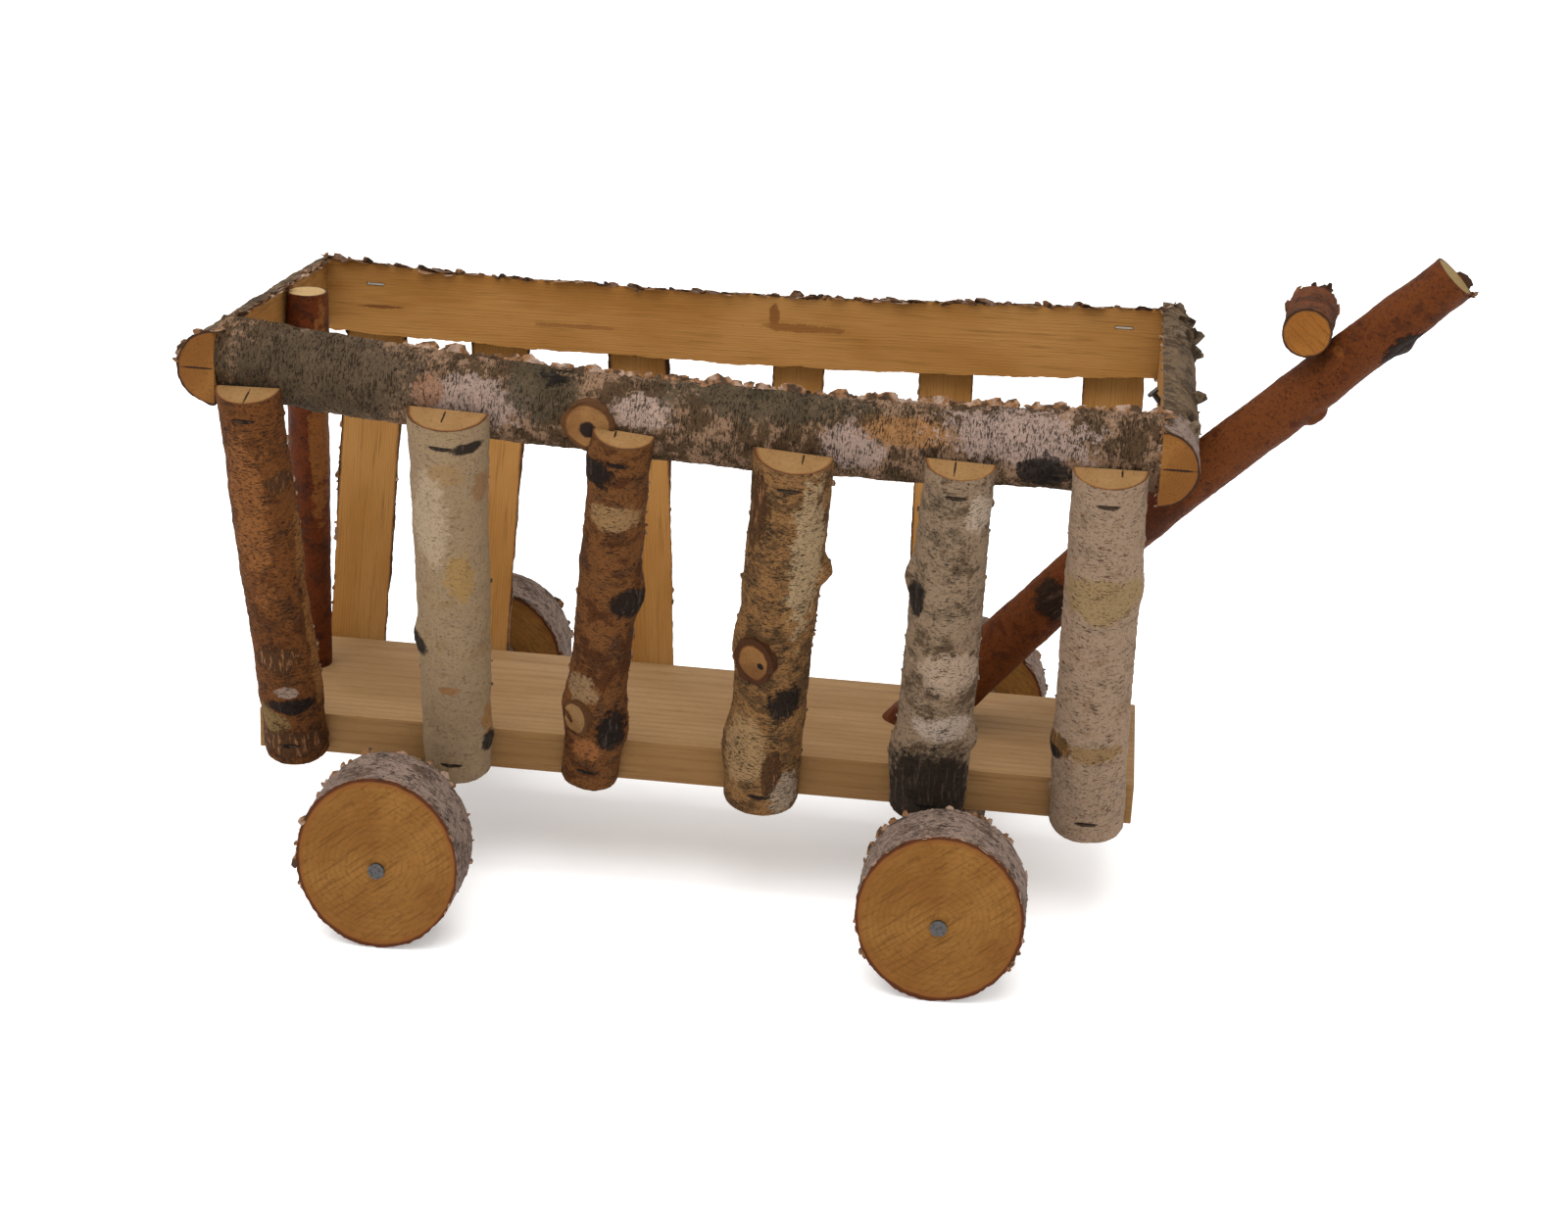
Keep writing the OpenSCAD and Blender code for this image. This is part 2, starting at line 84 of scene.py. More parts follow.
# Axle beams: the height of the flat top above the axis, the depth of the step beyond the board's
# edges, and the size of the tool that cuts it.
BEAM_RADIUS = 18 * MM
BEAM_FLAT = 13 * MM
BEAM_SHOULDER = 8 * MM
BEAM_STEP_REACH = 40 * MM
BEAM_STEP_WIDTH = 60 * MM

# The staples of the slats, from the foot and from the top.
STAPLE_FOOT = 13 * MM
STAPLE_TOP = 11 * MM

# ---------------------------------------------------------------- how the bark is worked

# A log's finish slots: its bark, its sawn faces and, on slats and rails, its sawn ends.
BARK, FLAT, END = 0, 1, 2

# Bark relief of each kind of log: the size of the lumps and how far they stand, in mm.
RELIEF = {
    "slat": ((60, 3.0), (14, 1.5), (3.2, 0.9)),
    "side_rail": ((70, 3.4), (13, 1.9), (3.4, 1.3)),
    "end_rail": ((60, 2.4), (12, 1.8), (3.2, 1.2)),
    "wheel": ((45, 1.6), (12, 1.3), (3.2, 1.4)),
    "beam": ((40, 2.0), (12, 1.4), (3.4, 0.8)),
    "handle": ((70, 3.0), (16, 1.3), (3.4, 0.5)),
    "crossbar": ((30, 1.4), (8, 1.2), (2.6, 0.8)),
    "post": ((60, 2.0), (14, 1.0), (3.4, 0.5)),
}
# The grey of the lumps that leaves the surface where it is. Above a half, most lumps go inwards.
RELIEF_LEVEL = 0.64

# ---------------------------------------------------------------- tones

BLACK = (0.008, 0.006, 0.005)
BROWN = (0.05, 0.022, 0.009)
SOOT = (0.011, 0.0072, 0.005)
CRACK = (0.02, 0.01, 0.006)
OLIVE = (0.042, 0.032, 0.018)
PINK_WHITE = (0.235, 0.165, 0.135)
WOOD_LIGHT = (0.295, 0.146, 0.043)
WOOD_DARK = (0.228, 0.1, 0.023)
END_LIGHT = (0.21, 0.118, 0.047)
END_DARK = (0.165, 0.085, 0.03)
KNOT_RIM = (0.06, 0.026, 0.01)

# Bark of the near slats, rear to front: tones, the share of the middle tone, and the dark dashes.
NEAR_BARK = [
    dict(light=(0.101, 0.0355, 0.0095), middle_tone=(0.0608, 0.0209, 0.0062), mottle=0.5, dashes=0.16,
         dark=(0.0192, 0.0077, 0.0035), grey=(0.064, 0.0275, 0.011)),
    dict(light=(0.196, 0.134, 0.0765), middle_tone=(0.168, 0.107, 0.053), mottle=0.45, dashes=0.09,
         dark=(0.0984, 0.0553, 0.0266), grey=(0.189, 0.13, 0.0798), dash_size=420.0, furrow=0.2),
    dict(light=(0.106, 0.041, 0.0122), middle_tone=(0.05, 0.0172, 0.0054), mottle=0.6, dashes=0.13,
         dark=(0.017, 0.0073, 0.0036), grey=(0.0612, 0.028, 0.0126)),
    dict(light=(0.162, 0.08, 0.029), middle_tone=(0.0703, 0.0358, 0.0146), mottle=0.6, dashes=0.16,
         dark=(0.0163, 0.009, 0.0047), grey=(0.078, 0.045, 0.02)),
    dict(light=(0.178, 0.12, 0.0756), middle_tone=(0.066, 0.0408, 0.0227), mottle=0.55, dashes=0.12,
         dark=(0.0185, 0.0108, 0.0065), grey=(0.0858, 0.06, 0.0367)),
    dict(light=(0.21, 0.142, 0.0945), middle_tone=(0.168, 0.105, 0.0635), mottle=0.45, dashes=0.125,
         dark=(0.0608, 0.0277, 0.0126), grey=(0.167, 0.117, 0.0805), dash_size=260.0, furrow=0.25),
]
RAIL_BARK = dict(light=(0.166, 0.098, 0.0585), middle_tone=(0.0518, 0.0298, 0.0146), mottle=0.66,
                 dark=(0.0148, 0.0087, 0.0052), grey=(0.062, 0.04, 0.02), dashes=0.17,
                 dash_size=300.0, contrast=0.07)
END_BARK = dict(light=(0.115, 0.075, 0.042), middle_tone=(0.05, 0.031, 0.017), mottle=0.6,
                dark=(0.015, 0.0095, 0.006), grey=(0.08, 0.056, 0.035), dashes=0.14, contrast=0.07)
TREAD_BARK = dict(light=(0.2, 0.141, 0.111), middle_tone=(0.096, 0.0608, 0.0444), mottle=0.55,
                  dark=(0.0224, 0.0129, 0.0089), grey=(0.104, 0.076, 0.0592), dashes=0.16,
                  dash_size=240.0, coarse=55.0)
HANDLE_BARK = dict(light=(0.088, 0.0235, 0.005), middle_tone=(0.054, 0.0125, 0.0035), mottle=0.5,
                   dark=(0.0165, 0.0054, 0.004), grey=(0.0488, 0.0144, 0.0049), dashes=0.08,
                   coarse=60.0, gloss=0.6, furrow=0.3)
CROSSBAR_BARK = dict(light=(0.094, 0.029, 0.0095), middle_tone=(0.043, 0.0125, 0.0045), mottle=0.6,
                     dark=(0.014, 0.0055, 0.004), grey=(0.045, 0.018, 0.008), dashes=0.1)
POST_BARK = dict(light=(0.082, 0.0185, 0.0042), middle_tone=(0.0425, 0.0104, 0.004), mottle=0.5,
                 dark=(0.0136, 0.0046, 0.004), grey=(0.0382, 0.013, 0.006), dashes=0.08,
                 gloss=0.5, furrow=0.3)

# ---------------------------------------------------------------- marks
# A mark is its centre in mm from the log's middle (across, outward, along), its reach each way, its
# tint and how ragged it is. Spots are knots and burns, patches are peeled or stained bark, except
# two of the handle's patches, which are painted light and painted shade.

NEAR_SPOTS = [
    [((5, 19, -78), (14, 14, 5), BLACK, 1.0), ((0, 19, -46), (12, 14, 9), BROWN, 1.8),
     ((15, 14, 68), (9, 12, 6), BROWN, 1.5), ((0, 18, -106), (22, 20, 10), BROWN, 1.9)],
    [((-19, 10, -28), (8, 12, 8), BLACK, 0.8), ((20, 8, -94), (4, 9, 7), BLACK, 0.8),
     ((12, 14, 107), (9, 11, 3.4), BLACK, 0.7)],
    [((-12, 13, 98), (10, 12, 8), BLACK, 1.5), ((13, 12, 16), (11, 13, 10), BLACK, 0.9),
     ((11, 12, -72), (8, 12, 15), BLACK, 1.4)],
    [((9, 17, -36), (12, 10, 10), BLACK, 1.5), ((-16, 12, 86), (7, 12, 24), BROWN, 1.9),
     ((6, 18, -86), (5, 12, 14), BROWN, 1.9)],
    [((-16, 12, 34), (5, 12, 12), BLACK, 1.1), ((0, 18, -96), (28, 28, 34), SOOT, 1.0)],
    [((-18, 12, -56), (8, 12, 7), (0.08, 0.038, 0.012), 1.2), ((-20, 8, -62), (5, 9, 5), BLACK, 1.0)],
]
NEAR_PATCHES = [
    [((-4, 18, 50), (12, 16, 50), (0.17, 0.065, 0.02), 1.6),
     ((3, 19, -68), (7, 7, 4), (0.24, 0.17, 0.13), 1.0),
     ((-10, 18, -90), (12, 14, 10), (0.14, 0.09, 0.035), 1.4),
     ((19, 6, -20), (3.5, 8, 80), (0.17, 0.075, 0.022), 0.9)],
    [((8, 18, 24), (8, 12, 16), (0.22, 0.13, 0.045), 1.4),
     ((0, 20, -52), (6, 8, 3), (0.17, 0.08, 0.03), 1.0),
     ((18, 9, 80), (5, 8, 9), (0.17, 0.09, 0.04), 1.3),
     ((20, 6, -80), (4, 8, 12), (0.19, 0.09, 0.03), 1.5),
     ((2, 19, 92), (10, 9, 7), (0.2, 0.12, 0.055), 1.6),
     ((-8, 18, 60), (12, 12, 30), (0.27, 0.2, 0.13), 1.4)],
    [((0, 17, 72), (16, 16, 9), (0.2, 0.115, 0.05), 1.2),
     ((-2, 17, -88), (9, 14, 8), (0.2, 0.075, 0.025), 1.3),
     ((-8, 16, -45), (10, 14, 10), (0.2, 0.12, 0.06), 1.4)],
    [((12, 14, 60), (9, 14, 50), (0.26, 0.18, 0.1), 1.6),
     ((-10, 19, -74), (13, 20, 26), (0.23, 0.14, 0.065), 1.2),
     ((14, 14, -100), (9, 12, 14), (0.27, 0.2, 0.14), 1.6)],
    [((8, 17, -10), (20, 16, 14), (0.28, 0.2, 0.14), 1.2),
     ((6, 17, -48), (18, 16, 9), (0.3, 0.23, 0.18), 1.2),
     ((14, 14, 92), (9, 12, 12), (0.29, 0.22, 0.16), 1.3)],
    [((2, 20, 47), (26, 26, 15), (0.19, 0.125, 0.055), 1.2),
     ((2, 20, -56), (18, 22, 6), (0.17, 0.1, 0.04), 1.4)],
]
# Bumps of the near slats: place, push (across, outward) and how far round them the bark follows.
NEAR_BUMPS = [
    [((5, 19, -78), (0, 1.2), 16)],
    [((-20, 4, -26), (-2.2, 1), 16), ((21, 4, -94), (2.2, 1), 13)],
    [((-16, 6, 100), (-2, 1), 20), ((17, 6, 16), (4.2, 1.5), 24), ((-16, 6, -66), (-3, 2.5), 24),
     ((17, 6, -78), (3.5, 1), 26)],
    [((21, 3, 45), (5.5, 1), 12), ((-20, 5, -8), (-2, 2), 22), ((-21, 4, -80), (-3, 0), 30)],
    [((-18, 4, 42), (-4, 1.5), 15), ((18, 4, -62), (4, 1), 14), ((-18, 4, -80), (-2.5, 1), 30)],
    [((-20, 4, -58), (-2.5, 1), 16), ((20, 4, 45), (2, 0), 14)],
]
# Drying cracks in the slats' sawn ends: half length as a share of the radius, and place across in mm.
END_CRACKS = [(0.46, -1.5), (0.3, 1.0), (0.22, 4.0), (0.26, -5.0), (0.38, 2.5), (0.18, -6.0)]

# The near rail's marks; its across runs upwards.
RAIL_SPOTS = [((-12, 18, 190), (9, 14, 13), BLACK, 1.8), ((14, 16, -68), (9, 12, 10), BLACK, 1.8)]
RAIL_PATCHES = [
    ((0, 20, -190), (30, 30, 55), (0.052, 0.036, 0.021), 1.3),
    ((-6, 20, -110), (14, 14, 30), PINK_WHITE, 1.8),
    ((-4, 20, -133), (9, 12, 9), (0.19, 0.095, 0.055), 1.2),
    ((8, 20, -75), (20, 20, 22), OLIVE, 1.4),
    ((-2, 22, -22), (10, 12, 16), (0.27, 0.19, 0.15), 1.6),
    ((12, 18, 40), (14, 20, 60), OLIVE, 1.4),
    ((-10, 18, 88), (13, 20, 18), PINK_WHITE, 1.2),
    ((2, 22, 118), (8, 14, 26), (0.2, 0.095, 0.035), 1.2),
    ((6, 20, 175), (16, 20, 40), PINK_WHITE, 1.8),
]
# Dark figure in the side rails' sawn faces.
RAIL_FIGURE = [
    ((-3, 0, 22), (7, 30, 3), (0.15, 0.06, 0.016), 1.0),
    ((4, 0, 40), (2.5, 30, 26), (0.17, 0.07, 0.019), 1.4),
    ((6, 0, -215), (1.2, 30, 14), (0.12, 0.048, 0.014), 1.0),
    ((11, 0, -95), (1.4, 30, 26), (0.19, 0.08, 0.024), 1.2),
]
FRONT_RAIL_PATCHES = [
    ((0, 18, -108), (30, 30, 26), (0.2, 0.14, 0.115), 1.0),
    ((0, 18, 20), (12, 14, 30), (0.14, 0.085, 0.05), 1.8),
]
HANDLE_SPOTS = [
    ((-13, 6, -84), (11, 12, 12), (0.014, 0.008, 0.005), 1.3),
    ((-7, -12, 153), (9, 8, 13), BLACK, 1.6),
]
# The last two patches are painted light towards the tip and painted shade lower down the handle.
HANDLE_PATCHES = [
    ((-14, -5, -75), (5, 6, 8), (0.19, 0.065, 0.014), 0.8),
    ((-10, 8, 128), (3, 7, 3), (0.17, 0.055, 0.011), 0.6),
    ((-8, 8, 60), (14, 14, 60), (0.105, 0.03, 0.007), 1.8),
    ((-8, 8, -20), (14, 14, 40), (0.045, 0.012, 0.004), 1.8),
]
# Bumps on the handle's underside: distance up from the foot, push, reach and falloff.
HANDLE_BUMPS = [(290, 3.2, 7, "SPHERE"), (352, 2.6, 9, "SMOOTH")]
POST_PATCHES = [((9, -8, 40), (6, 12, 60), (0.16, 0.06, 0.015), 1.6)]

# Sawn knots: place across and along, size, and the look of the wood.
SLAT_KNOTS = {
    3: ((9 * MM, -66 * MM), (19 * MM, 25 * MM),
        dict(light=(0.2, 0.11, 0.045), dark=(0.15, 0.075, 0.028), edge=KNOT_RIM,
             inner=(0.09, 0.035, 0.012), skin=0.86)),
    4: ((9 * MM, -8 * MM), (25 * MM, 31 * MM),
        dict(light=(0.17, 0.08, 0.025), dark=(0.1, 0.042, 0.013), edge=(0.04, 0.015, 0.006),
             inner=(0.07, 0.022, 0.006), skin=0.76,
             spots=[((0.0045, -0.001, 0), (0.0022, 0.0024, 0.05), BLACK, 0.4)])),
}
# The near rail's knot has a small near-black spot by its middle: painted shadow of a hole.
RAIL_KNOT = ((-1.5 * MM, -48 * MM), (28 * MM, 29 * MM),
             dict(light=(0.2, 0.1, 0.035), dark=(0.14, 0.062, 0.02), edge=KNOT_RIM,
                  inner=(0.08, 0.03, 0.01), skin=0.84,
                  spots=[((0.002, 0, 0), (0.0045, 0.005, 0.05), (0.014, 0.008, 0.006), 0.4)]))


# ---------------------------------------------------------------- camera

def place_camera():
    yaw = math.radians(-5.789)
    pitch = math.radians(20.562)
    roll = math.radians(2.73)
    forward = (math.sin(yaw) * math.cos(pitch), math.cos(yaw) * math.cos(pitch), -math.sin(pitch))
    ahead = Vector(forward)
    level_right = Vector((math.cos(yaw), -math.sin(yaw), 0))
    level_up = level_right.cross(ahead)
    right = math.cos(roll) * level_right + math.sin(roll) * level_up
    up = math.cos(roll) * level_up - math.sin(roll) * level_right
    turn = Matrix((right, up, -ahead)).transposed().to_euler()
    bpy.ops.object.camera_add(location=(0.13487, -1.54943, 0.74173), rotation=turn)
    camera = bpy.context.object
    camera.name = "studio_camera"
    camera.data.sensor_width = 36
    camera.data.lens = 66.83
    bpy.context.scene.camera = camera


# ---------------------------------------------------------------- hand tools

def put_down_all():
    if bpy.context.mode != "OBJECT":
        bpy.ops.object.mode_set(mode="OBJECT")
    bpy.ops.object.select_all(action="DESELECT")


def take_up(piece):
    put_down_all()
    piece.select_set(True)
    bpy.context.view_layer.objects.active = piece


def fix_place(piece):
    take_up(piece)
    bpy.ops.object.transform_apply(location=True, rotation=True, scale=True)


def choose(piece, kind, wanted):
    """Leave edit mode open with only the wanted vertices, edges or faces selected."""
    take_up(piece)
    bpy.context.tool_settings.mesh_select_mode = (kind == "VERT", kind == "EDGE", kind == "FACE")
    bpy.ops.object.mode_set(mode="EDIT")
    bpy.ops.mesh.select_all(action="DESELECT")
    bpy.ops.object.mode_set(mode="OBJECT")
    shape = piece.data
    parts = {"VERT": shape.vertices, "EDGE": shape.edges, "FACE": shape.polygons}[kind]
    for part in parts:
        part.select = wanted(part)
    bpy.ops.object.mode_set(mode="EDIT")


def cut_rings(piece, axis, long_edge, cuts):
    """Cut every edge that runs along the axis and is longer than long_edge."""
    shape = piece.data

    def runs_along(edge):
        low, high = (shape.vertices[index].co for index in edge.vertices)
        return abs((high - low).dot(axis)) > long_edge
    choose(piece, "EDGE", runs_along)
    bpy.ops.mesh.subdivide(number_cuts=cuts)
    bpy.ops.object.mode_set(mode="OBJECT")


def turn_to(across, outward, along):
    """The turn of a piece whose X, Y and Z run across, outward and along."""
    return Matrix((across, outward, along)).transposed().to_euler()


def grow_branch(name, low_end, high_end, radii, turn, sides=96, step=1.3 * MM, overrun=6 * MM):
    """A round branch with fine rings, longer than wanted at both ends until it is sawn."""
    axis = (high_end - low_end).normalized()
    length = (high_end - low_end).length
    taper = (radii[1] - radii[0]) / length * overrun
    bpy.ops.mesh.primitive_cone_add(
        vertices=sides, radius1=radii[0] - taper, radius2=radii[1] + taper,
        depth=length + 2 * overrun, location=(low_end + high_end) / 2, rotation=turn)
    branch = bpy.context.object
    branch.name = name
    fix_place(branch)
    rings = (length + 2 * overrun) / step
    coarse = max(1, min(99, int(rings / 4)))
    cut_rings(branch, axis, length / 2, coarse)
    cut_rings(branch, axis, length / coarse / 2, 3)
    return branch


def roughen(piece, lump, height):
    """Push the bark in and out by a cloud of lumps of one size."""
    cloud = bpy.data.textures.new("bark_lumps", "CLOUDS")
    cloud.noise_scale = lump
    cloud.noise_depth = 2
    take_up(piece)
    bpy.ops.object.modifier_add(type="DISPLACE")
    relief = piece.modifiers[-1]
    relief.texture = cloud
    relief.strength = height
    relief.mid_level = RELIEF_LEVEL
    bpy.ops.object.modifier_apply(modifier=relief.name)


def add_relief(piece, kind):
    for lump, height in RELIEF[kind]:
        roughen(piece, lump * MM, height * MM)


def bend(piece, place, along, push, falloff, reach):
    """Push the ring of points at a place sideways, and the branch on both sides with it."""
    choose(piece, "VERT", lambda vertex: abs((vertex.co - place).dot(along)) < 0.8 * MM)
    bpy.ops.transform.translate(
        value=push, use_proportional_edit=True,
        proportional_edit_falloff=falloff, proportional_size=reach)
    bpy.ops.object.mode_set(mode="OBJECT")


def swell(piece, place, push, reach, falloff="SMOOTH"):
    """Pull the point of the surface nearest to a place, and what is around it."""
    shape = piece.data
    nearest = min(shape.vertices, key=lambda vertex: (vertex.co - place).length).index
    choose(piece, "VERT", lambda vertex: vertex.index == nearest)
    bpy.ops.transform.translate(
        value=push, use_proportional_edit=True,
        proportional_edit_falloff=falloff, proportional_size=reach)
    bpy.ops.object.mode_set(mode="OBJECT")


def saw(piece, place, away, finish):
    """Saw off what lies beyond a plane, and give the new face a finish slot."""
    choose(piece, "FACE", lambda face: True)
    bpy.ops.mesh.bisect(plane_co=place, plane_no=away, use_fill=True, clear_outer=True)
    bpy.ops.mesh.select_all(action="SELECT")
    bpy.ops.mesh.normals_make_consistent(inside=False)
    bpy.ops.object.mode_set(mode="OBJECT")
    for face in piece.data.polygons:
        on_plane = abs((face.center - place).dot(away)) < 0.05 * MM
        if on_plane and abs(face.normal.dot(away)) > 0.98:
            face.material_index = finish


def cut_away(piece, waste):
    """Take the waste's shape out of a piece, and the waste away."""
    take_up(piece)
    bpy.ops.object.modifier_add(type="BOOLEAN")
    piece.modifiers[-1].object = waste
    bpy.ops.object.modifier_apply(modifier=piece.modifiers[-1].name)
    bpy.data.objects.remove(waste)


def join_all(pieces):
    """Join pieces into the first of them."""
    put_down_all()
    for piece in pieces:
        piece.select_set(True)
    bpy.context.view_layer.objects.active = pieces[0]
    bpy.ops.object.join()
    return pieces[0]


def dress(piece, *finishes):
    slots = piece.data.materials
    for number, finish in enumerate(finishes):
        if number < len(slots):
            slots[number] = finish
        else:
            slots.append(finish)


def round_off(piece, corner=35):
    take_up(piece)
    bpy.ops.object.shade_smooth_by_angle(angle=math.radians(corner))


def hand_over(piece, body, slot, *nodes):
    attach(piece, body)
    if nodes:
        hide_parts(*nodes)


def finish_off(piece, body, slot, node, *finishes):
    """Dress a piece that is done, and let it stand in for a CAD node."""
    dress(piece, *finishes)
    round_off(piece)
    hand_over(piece, body, slot, node)


# ---------------------------------------------------------------- finishes

def fill(tree, node, inputs):
    """Link or set a shader node's sockets."""
    for name, value in inputs.items():
        if isinstance(value, bpy.types.NodeSocket):
            tree.links.new(value, node.inputs[name])
        else:
            node.inputs[name].default_value = value


def add(tree, kind, inputs, **settings):
    made = tree.nodes.new(kind)
    for name, value in settings.items():
        setattr(made, name, value)
    fill(tree, made, inputs)
    return made


def new_group(name, takes, gives):
    """A node group that takes sockets of the given kinds and gives out plain numbers."""
    group = bpy.data.node_groups.new(name, "ShaderNodeTree")
    for label, kind in takes.items():
        group.interface.new_socket(label, in_out="INPUT", socket_type="NodeSocket" + kind)
    for label in gives:
        group.interface.new_socket(label, in_out="OUTPUT", socket_type="NodeSocketFloat")
    start = group.nodes.new("NodeGroupInput")
    end = group.nodes.new("NodeGroupOutput")
    return group, start.outputs, end.inputs


def math_node(tree, operation, first, second=0.0):
    return add(tree, "ShaderNodeMath", {0: first, 1: second}, operation=operation).outputs[0]


def combine(tree, operation, first, second):
    """Subtract, divide or multiply two vectors."""
    return add(tree, "ShaderNodeVectorMath", {0: first, 1: second}, operation=operation).outputs[0]


def length_of(tree, vector):
    made = add(tree, "ShaderNodeVectorMath", {0: vector}, operation="LENGTH")
    return made.outputs["Value"]


def ramp(tree, value, low, high, to_low=0.0, to_high=1.0):
    made = add(tree, "ShaderNodeMapRange", {"Value": value, "From Min": low, "From Max": high,
                                            "To Min": to_low, "To Max": to_high})
    made.interpolation_type = "SMOOTHSTEP"
    return made.outputs["Result"]


def blend(tree, share, under, over, how="MIX"):
    made = tree.nodes.new("ShaderNodeMix")
    made.data_type = "RGBA"
    made.blend_type = how
    fill(tree, made, {0: share, 6: under, 7: over})
    return made.outputs[2]


def noise(tree, place, scale, detail=3.0, rough=0.55):
    made = add(tree, "ShaderNodeTexNoise", {"Vector": place, "Scale": scale, "Detail": detail,
                                            "Roughness": rough})
    return made.outputs["Fac"]


def stretch(tree, place, factors, shift=(0, 0, 0)):
    made = add(tree, "ShaderNodeMapping", {"Vector": place, "Scale": factors, "Location": shift})
    return made.outputs["Vector"]


def build_dashes():
    """Short dark marks that run round a branch, as on birch bark."""
    tree, take, give = new_group("bark_dashes", {"Place": "Vector", "Size": "Float",
                                                 "Amount": "Float"}, ("Mask",))
    thin = stretch(tree, take["Place"], (1, 1, 4.5))
    marks = noise(tree, thin, take["Size"], 2.0, 0.6)
    edge = math_node(tree, "SUBTRACT", 0.72, take["Amount"])
    far_edge = math_node(tree, "ADD", edge, 0.07)
    mask = ramp(tree, marks, edge, far_edge)
    tree.links.new(mask, give["Mask"])
    return tree


def build_spot():
    """A ragged oval around one point: a knot, a burn or a peeled patch."""
    tree, take, give = new_group("ragged_spot", {"Place": "Vector", "Centre": "Vector",
                                                 "Reach": "Vector", "Raggedness": "Float"},
                                 ("Mask",))
    away = combine(tree, "SUBTRACT", take["Place"], take["Centre"])
    far = length_of(tree, combine(tree, "DIVIDE", away, take["Reach"]))
    tears = math_node(tree, "ADD", noise(tree, take["Place"], 70.0, 4.0, 0.7),
                      noise(tree, take["Place"], 260.0, 4.0, 0.7))
    lumps = math_node(tree, "SUBTRACT", tears, 1.0)
    torn = math_node(tree, "MULTIPLY", lumps, take["Raggedness"])
    distance = math_node(tree, "ADD", far, torn)
    mask = ramp(tree, distance, 1.12, 0.78)
    tree.links.new(mask, give["Mask"])
    return tree


def build_grain():
    """Sawn wood: fine lines along the branch, and growth rings round its heart."""
    tree, take, give = new_group("sawn_grain", {"Place": "Vector", "Ring Gap": "Float"},
                                 ("Lines", "Rings", "Clouds"))
    along = stretch(tree, take["Place"], (1, 1, 0.045))
    lines = noise(tree, along, 520.0, 4.0, 0.6)
    heart = length_of(tree, combine(tree, "MULTIPLY", take["Place"], (1, 1, 0.02)))
    drift = noise(tree, stretch(tree, take["Place"], (1, 1, 0.15)), 45.0)
    wander = math_node(tree, "MULTIPLY", drift, 0.006)
    ring_place = math_node(tree, "DIVIDE", math_node(tree, "ADD", heart, wander), take["Ring Gap"])
    wave = math_node(tree, "SINE", math_node(tree, "MULTIPLY", ring_place, 6.283))
    rings = ramp(tree, wave, 0.2, 1.0)
    tree.links.new(lines, give["Lines"])
    tree.links.new(rings, give["Rings"])
    tree.links.new(noise(tree, stretch(tree, take["Place"], (1, 1, 0.3)), 28.0, 3.0), give["Clouds"])
    return tree


DASHES = build_dashes()
SPOT = build_spot()
GRAIN = build_grain()


def place_in(tree, middle, turn):
    """Object coordinates turned so that Z runs along the branch and its heart is at zero."""
    seen = tree.nodes.new("ShaderNodeTexCoord").outputs["Object"]
    mapping = add(tree, "ShaderNodeMapping", {"Vector": seen, "Location": middle, "Rotation": turn},
                  vector_type="TEXTURE")
    return mapping.outputs["Vector"]


def use(tree, group, inputs):
    made = tree.nodes.new("ShaderNodeGroup")
    made.node_tree = group
    fill(tree, made, inputs)
    return made.outputs


def mark_mask(tree, place, centre, reach, torn):
    spot = use(tree, SPOT, {"Place": place, "Centre": centre, "Reach": reach, "Raggedness": torn})
    return spot["Mask"]


def start_finish(name):
    finish = bpy.data.materials.new(name)
    finish.use_nodes = True
    tree = finish.node_tree
    shader = tree.nodes["Principled BSDF"]
    shader.inputs["Specular IOR Level"].default_value = 0.05
    return finish, tree, shader


def colour(values):
    return (values[0], values[1], values[2], 1.0)


def set_surface(tree, shader, base, rough, height, bump_distance, bump_strength=1.0):
    fill(tree, shader, {"Base Color": base, "Roughness": rough})
    bump = add(tree, "ShaderNodeBump", {"Height": height, "Distance": bump_distance,
                                        "Strength": bump_strength})
    tree.links.new(bump.outputs["Normal"], shader.inputs["Normal"])


